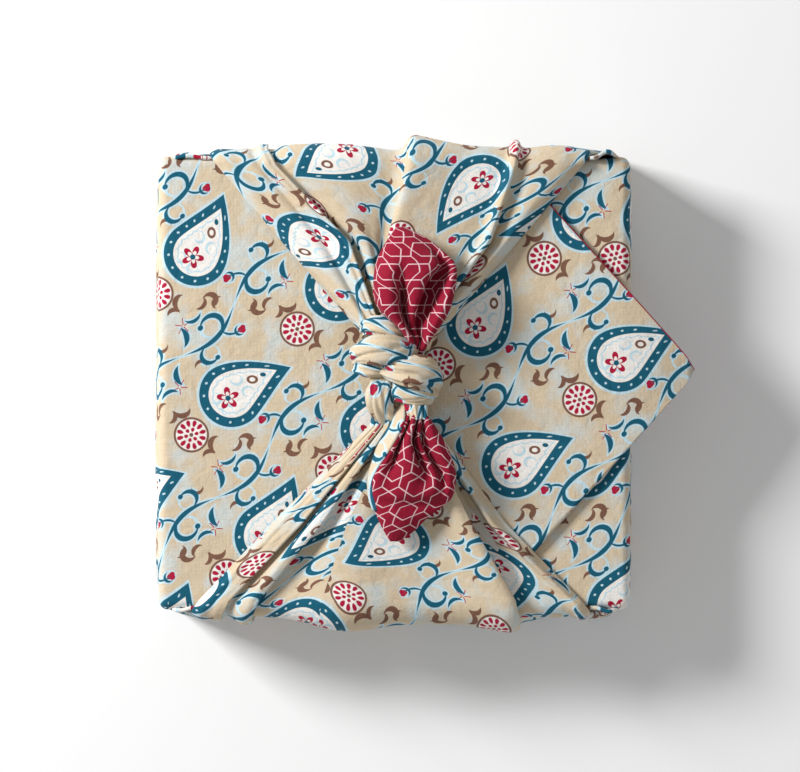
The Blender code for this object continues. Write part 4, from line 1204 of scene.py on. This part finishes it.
# %% Box board
board = bpy.data.materials.new("wrapped greyboard")
board.use_nodes = True
board_tree = board.node_tree
here = add_node(board_tree, "ShaderNodeTexCoord").outputs["Object"]
pulp = add_node(board_tree, "ShaderNodeTexNoise", {"Vector": here, "Scale": 900.0, "Detail": 3.0}).outputs[0]
tint = add_node(board_tree, "ShaderNodeRGB").outputs[0]
tint.default_value = ink("C9BDA8")
speckled = paint(board_tree, tint, ink("B8AA93"), formula(board_tree, "0.5 - n", n=pulp), 0.6)
board_shader = board_tree.nodes["Principled BSDF"]
board_shader.inputs["Roughness"].default_value = 0.8
board_tree.links.new(speckled, board_shader.inputs["Base Color"])
pressed = add_node(board_tree, "ShaderNodeBump", {"Height": pulp, "Strength": 0.2, "Distance": 0.0001}).outputs[0]
board_tree.links.new(pressed, board_shader.inputs["Normal"])
box_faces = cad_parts["gift_box"].data
box_faces.materials.clear()
box_faces.materials.append(board)
print("the box has", len(box_faces.polygons), "faces")

# %% [markdown]
# ## Floor, light and camera
# The photograph looks straight down on a white ground, with soft light from the far left. A white card, a bright
# room and two large lamps give that.

# %% Stage
scene.view_settings.view_transform = "Standard"
floor_data = bpy.data.meshes.new("floor")
floor_data.from_pydata([(-4, -4, 0), (4, -4, 0), (4, 4, 0), (-4, 4, 0)], [], [(0, 1, 2, 3)])
floor = bpy.data.objects.new("floor", floor_data)
floor.location.z = -0.0002
scene.collection.objects.link(floor)
card = bpy.data.materials.new("white card")
card.use_nodes = True
card.node_tree.nodes["Principled BSDF"].inputs["Base Color"].default_value = (0.97, 0.97, 0.97, 1)
card.node_tree.nodes["Principled BSDF"].inputs["Roughness"].default_value = 0.9
floor_data.materials.append(card)

world = bpy.data.worlds.new("soft room")
scene.world = world
world.use_nodes = True
world.node_tree.nodes["Background"].inputs["Color"].default_value = (1, 1, 1, 1)
world.node_tree.nodes["Background"].inputs["Strength"].default_value = 0.32


def add_light(name, place, size, watts):
    data = bpy.data.lights.new(name, "AREA")
    data.shape = "SQUARE"
    data.size = size
    data.energy = watts
    made = bpy.data.objects.new(name, data)
    made.location = place
    made.rotation_euler = (Vector((0, 0, 0.04)) - Vector(place)).to_track_quat("-Z", "Y").to_euler()
    scene.collection.objects.link(made)


add_light("window", (-1.12, 0.58, 0.80), 0.42, 26)
add_light("fill", (0.9, -0.9, 1.4), 1.2, 3)

camera_data = bpy.data.cameras.new("camera")
camera_data.sensor_width = 36.0
camera_data.lens = 36.0 * 1.4 / 0.320
camera = bpy.data.objects.new("camera", camera_data)
camera.location = (0.0022, -0.0012, 1.445)
scene.collection.objects.link(camera)
scene.camera = camera
print("the camera is", round(camera.location.z, 3), "m above the floor")

# %% [markdown]
# ## One piece of cloth
# The knot's bands are the same cloth, so they join the sheet as one piece. It takes the place of the solid that
# stands for the cloth in the frame.

# %% Join and hand over
for finish in (PRINT, REVERSE_FINISH):
    cloth.data.materials.append(finish)
settle(cloth)


def band_chart(band):
    """Gives a band its own place on the flat cloth, along its path and round its ring."""
    data = band.data
    chart = data.uv_layers.new(name="flat cloth")
    line = np.array([v.co for v in data.vertices]).reshape(-1, RING, 3)
    runs = np.concatenate(([0.0], np.cumsum(np.linalg.norm(np.diff(line.mean(axis=1), axis=0), axis=1))))
    round_length = np.linalg.norm(np.diff(line[len(line) // 2], axis=0), axis=1).sum()
    for face in data.polygons:
        places = [(v // RING, v % RING) for v in face.vertices]
        crosses = max(j for _, j in places) - min(j for _, j in places) > RING / 2
        for loop, (i, j) in zip(face.loop_indices, places):
            j = j + RING if crosses and j < RING / 2 else j
            chart.data[loop].uv = (j / RING * round_length, runs[i])
    data.attributes.new("hem_mm", "FLOAT", "POINT").data.foreach_set("value", [FAR_FROM_HEM] * len(data.vertices))
    data.materials.clear()
    data.materials.append(PRINT)


def join(target, others):
    mesh = bmesh.new()
    mesh.from_mesh(target.data)
    for other in others:
        mesh.from_mesh(other.data)
        bpy.data.objects.remove(other, do_unlink=True)
    mesh.to_mesh(target.data)
    mesh.free()


for band in bands:
    band_chart(band)
join(cloth, bands)
cloth.data.shade_smooth()
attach(cloth, "root")
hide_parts("furoshiki_cloth")
print("triangles in the cloth:", sum(len(p.vertices) - 2 for p in cloth.data.polygons))
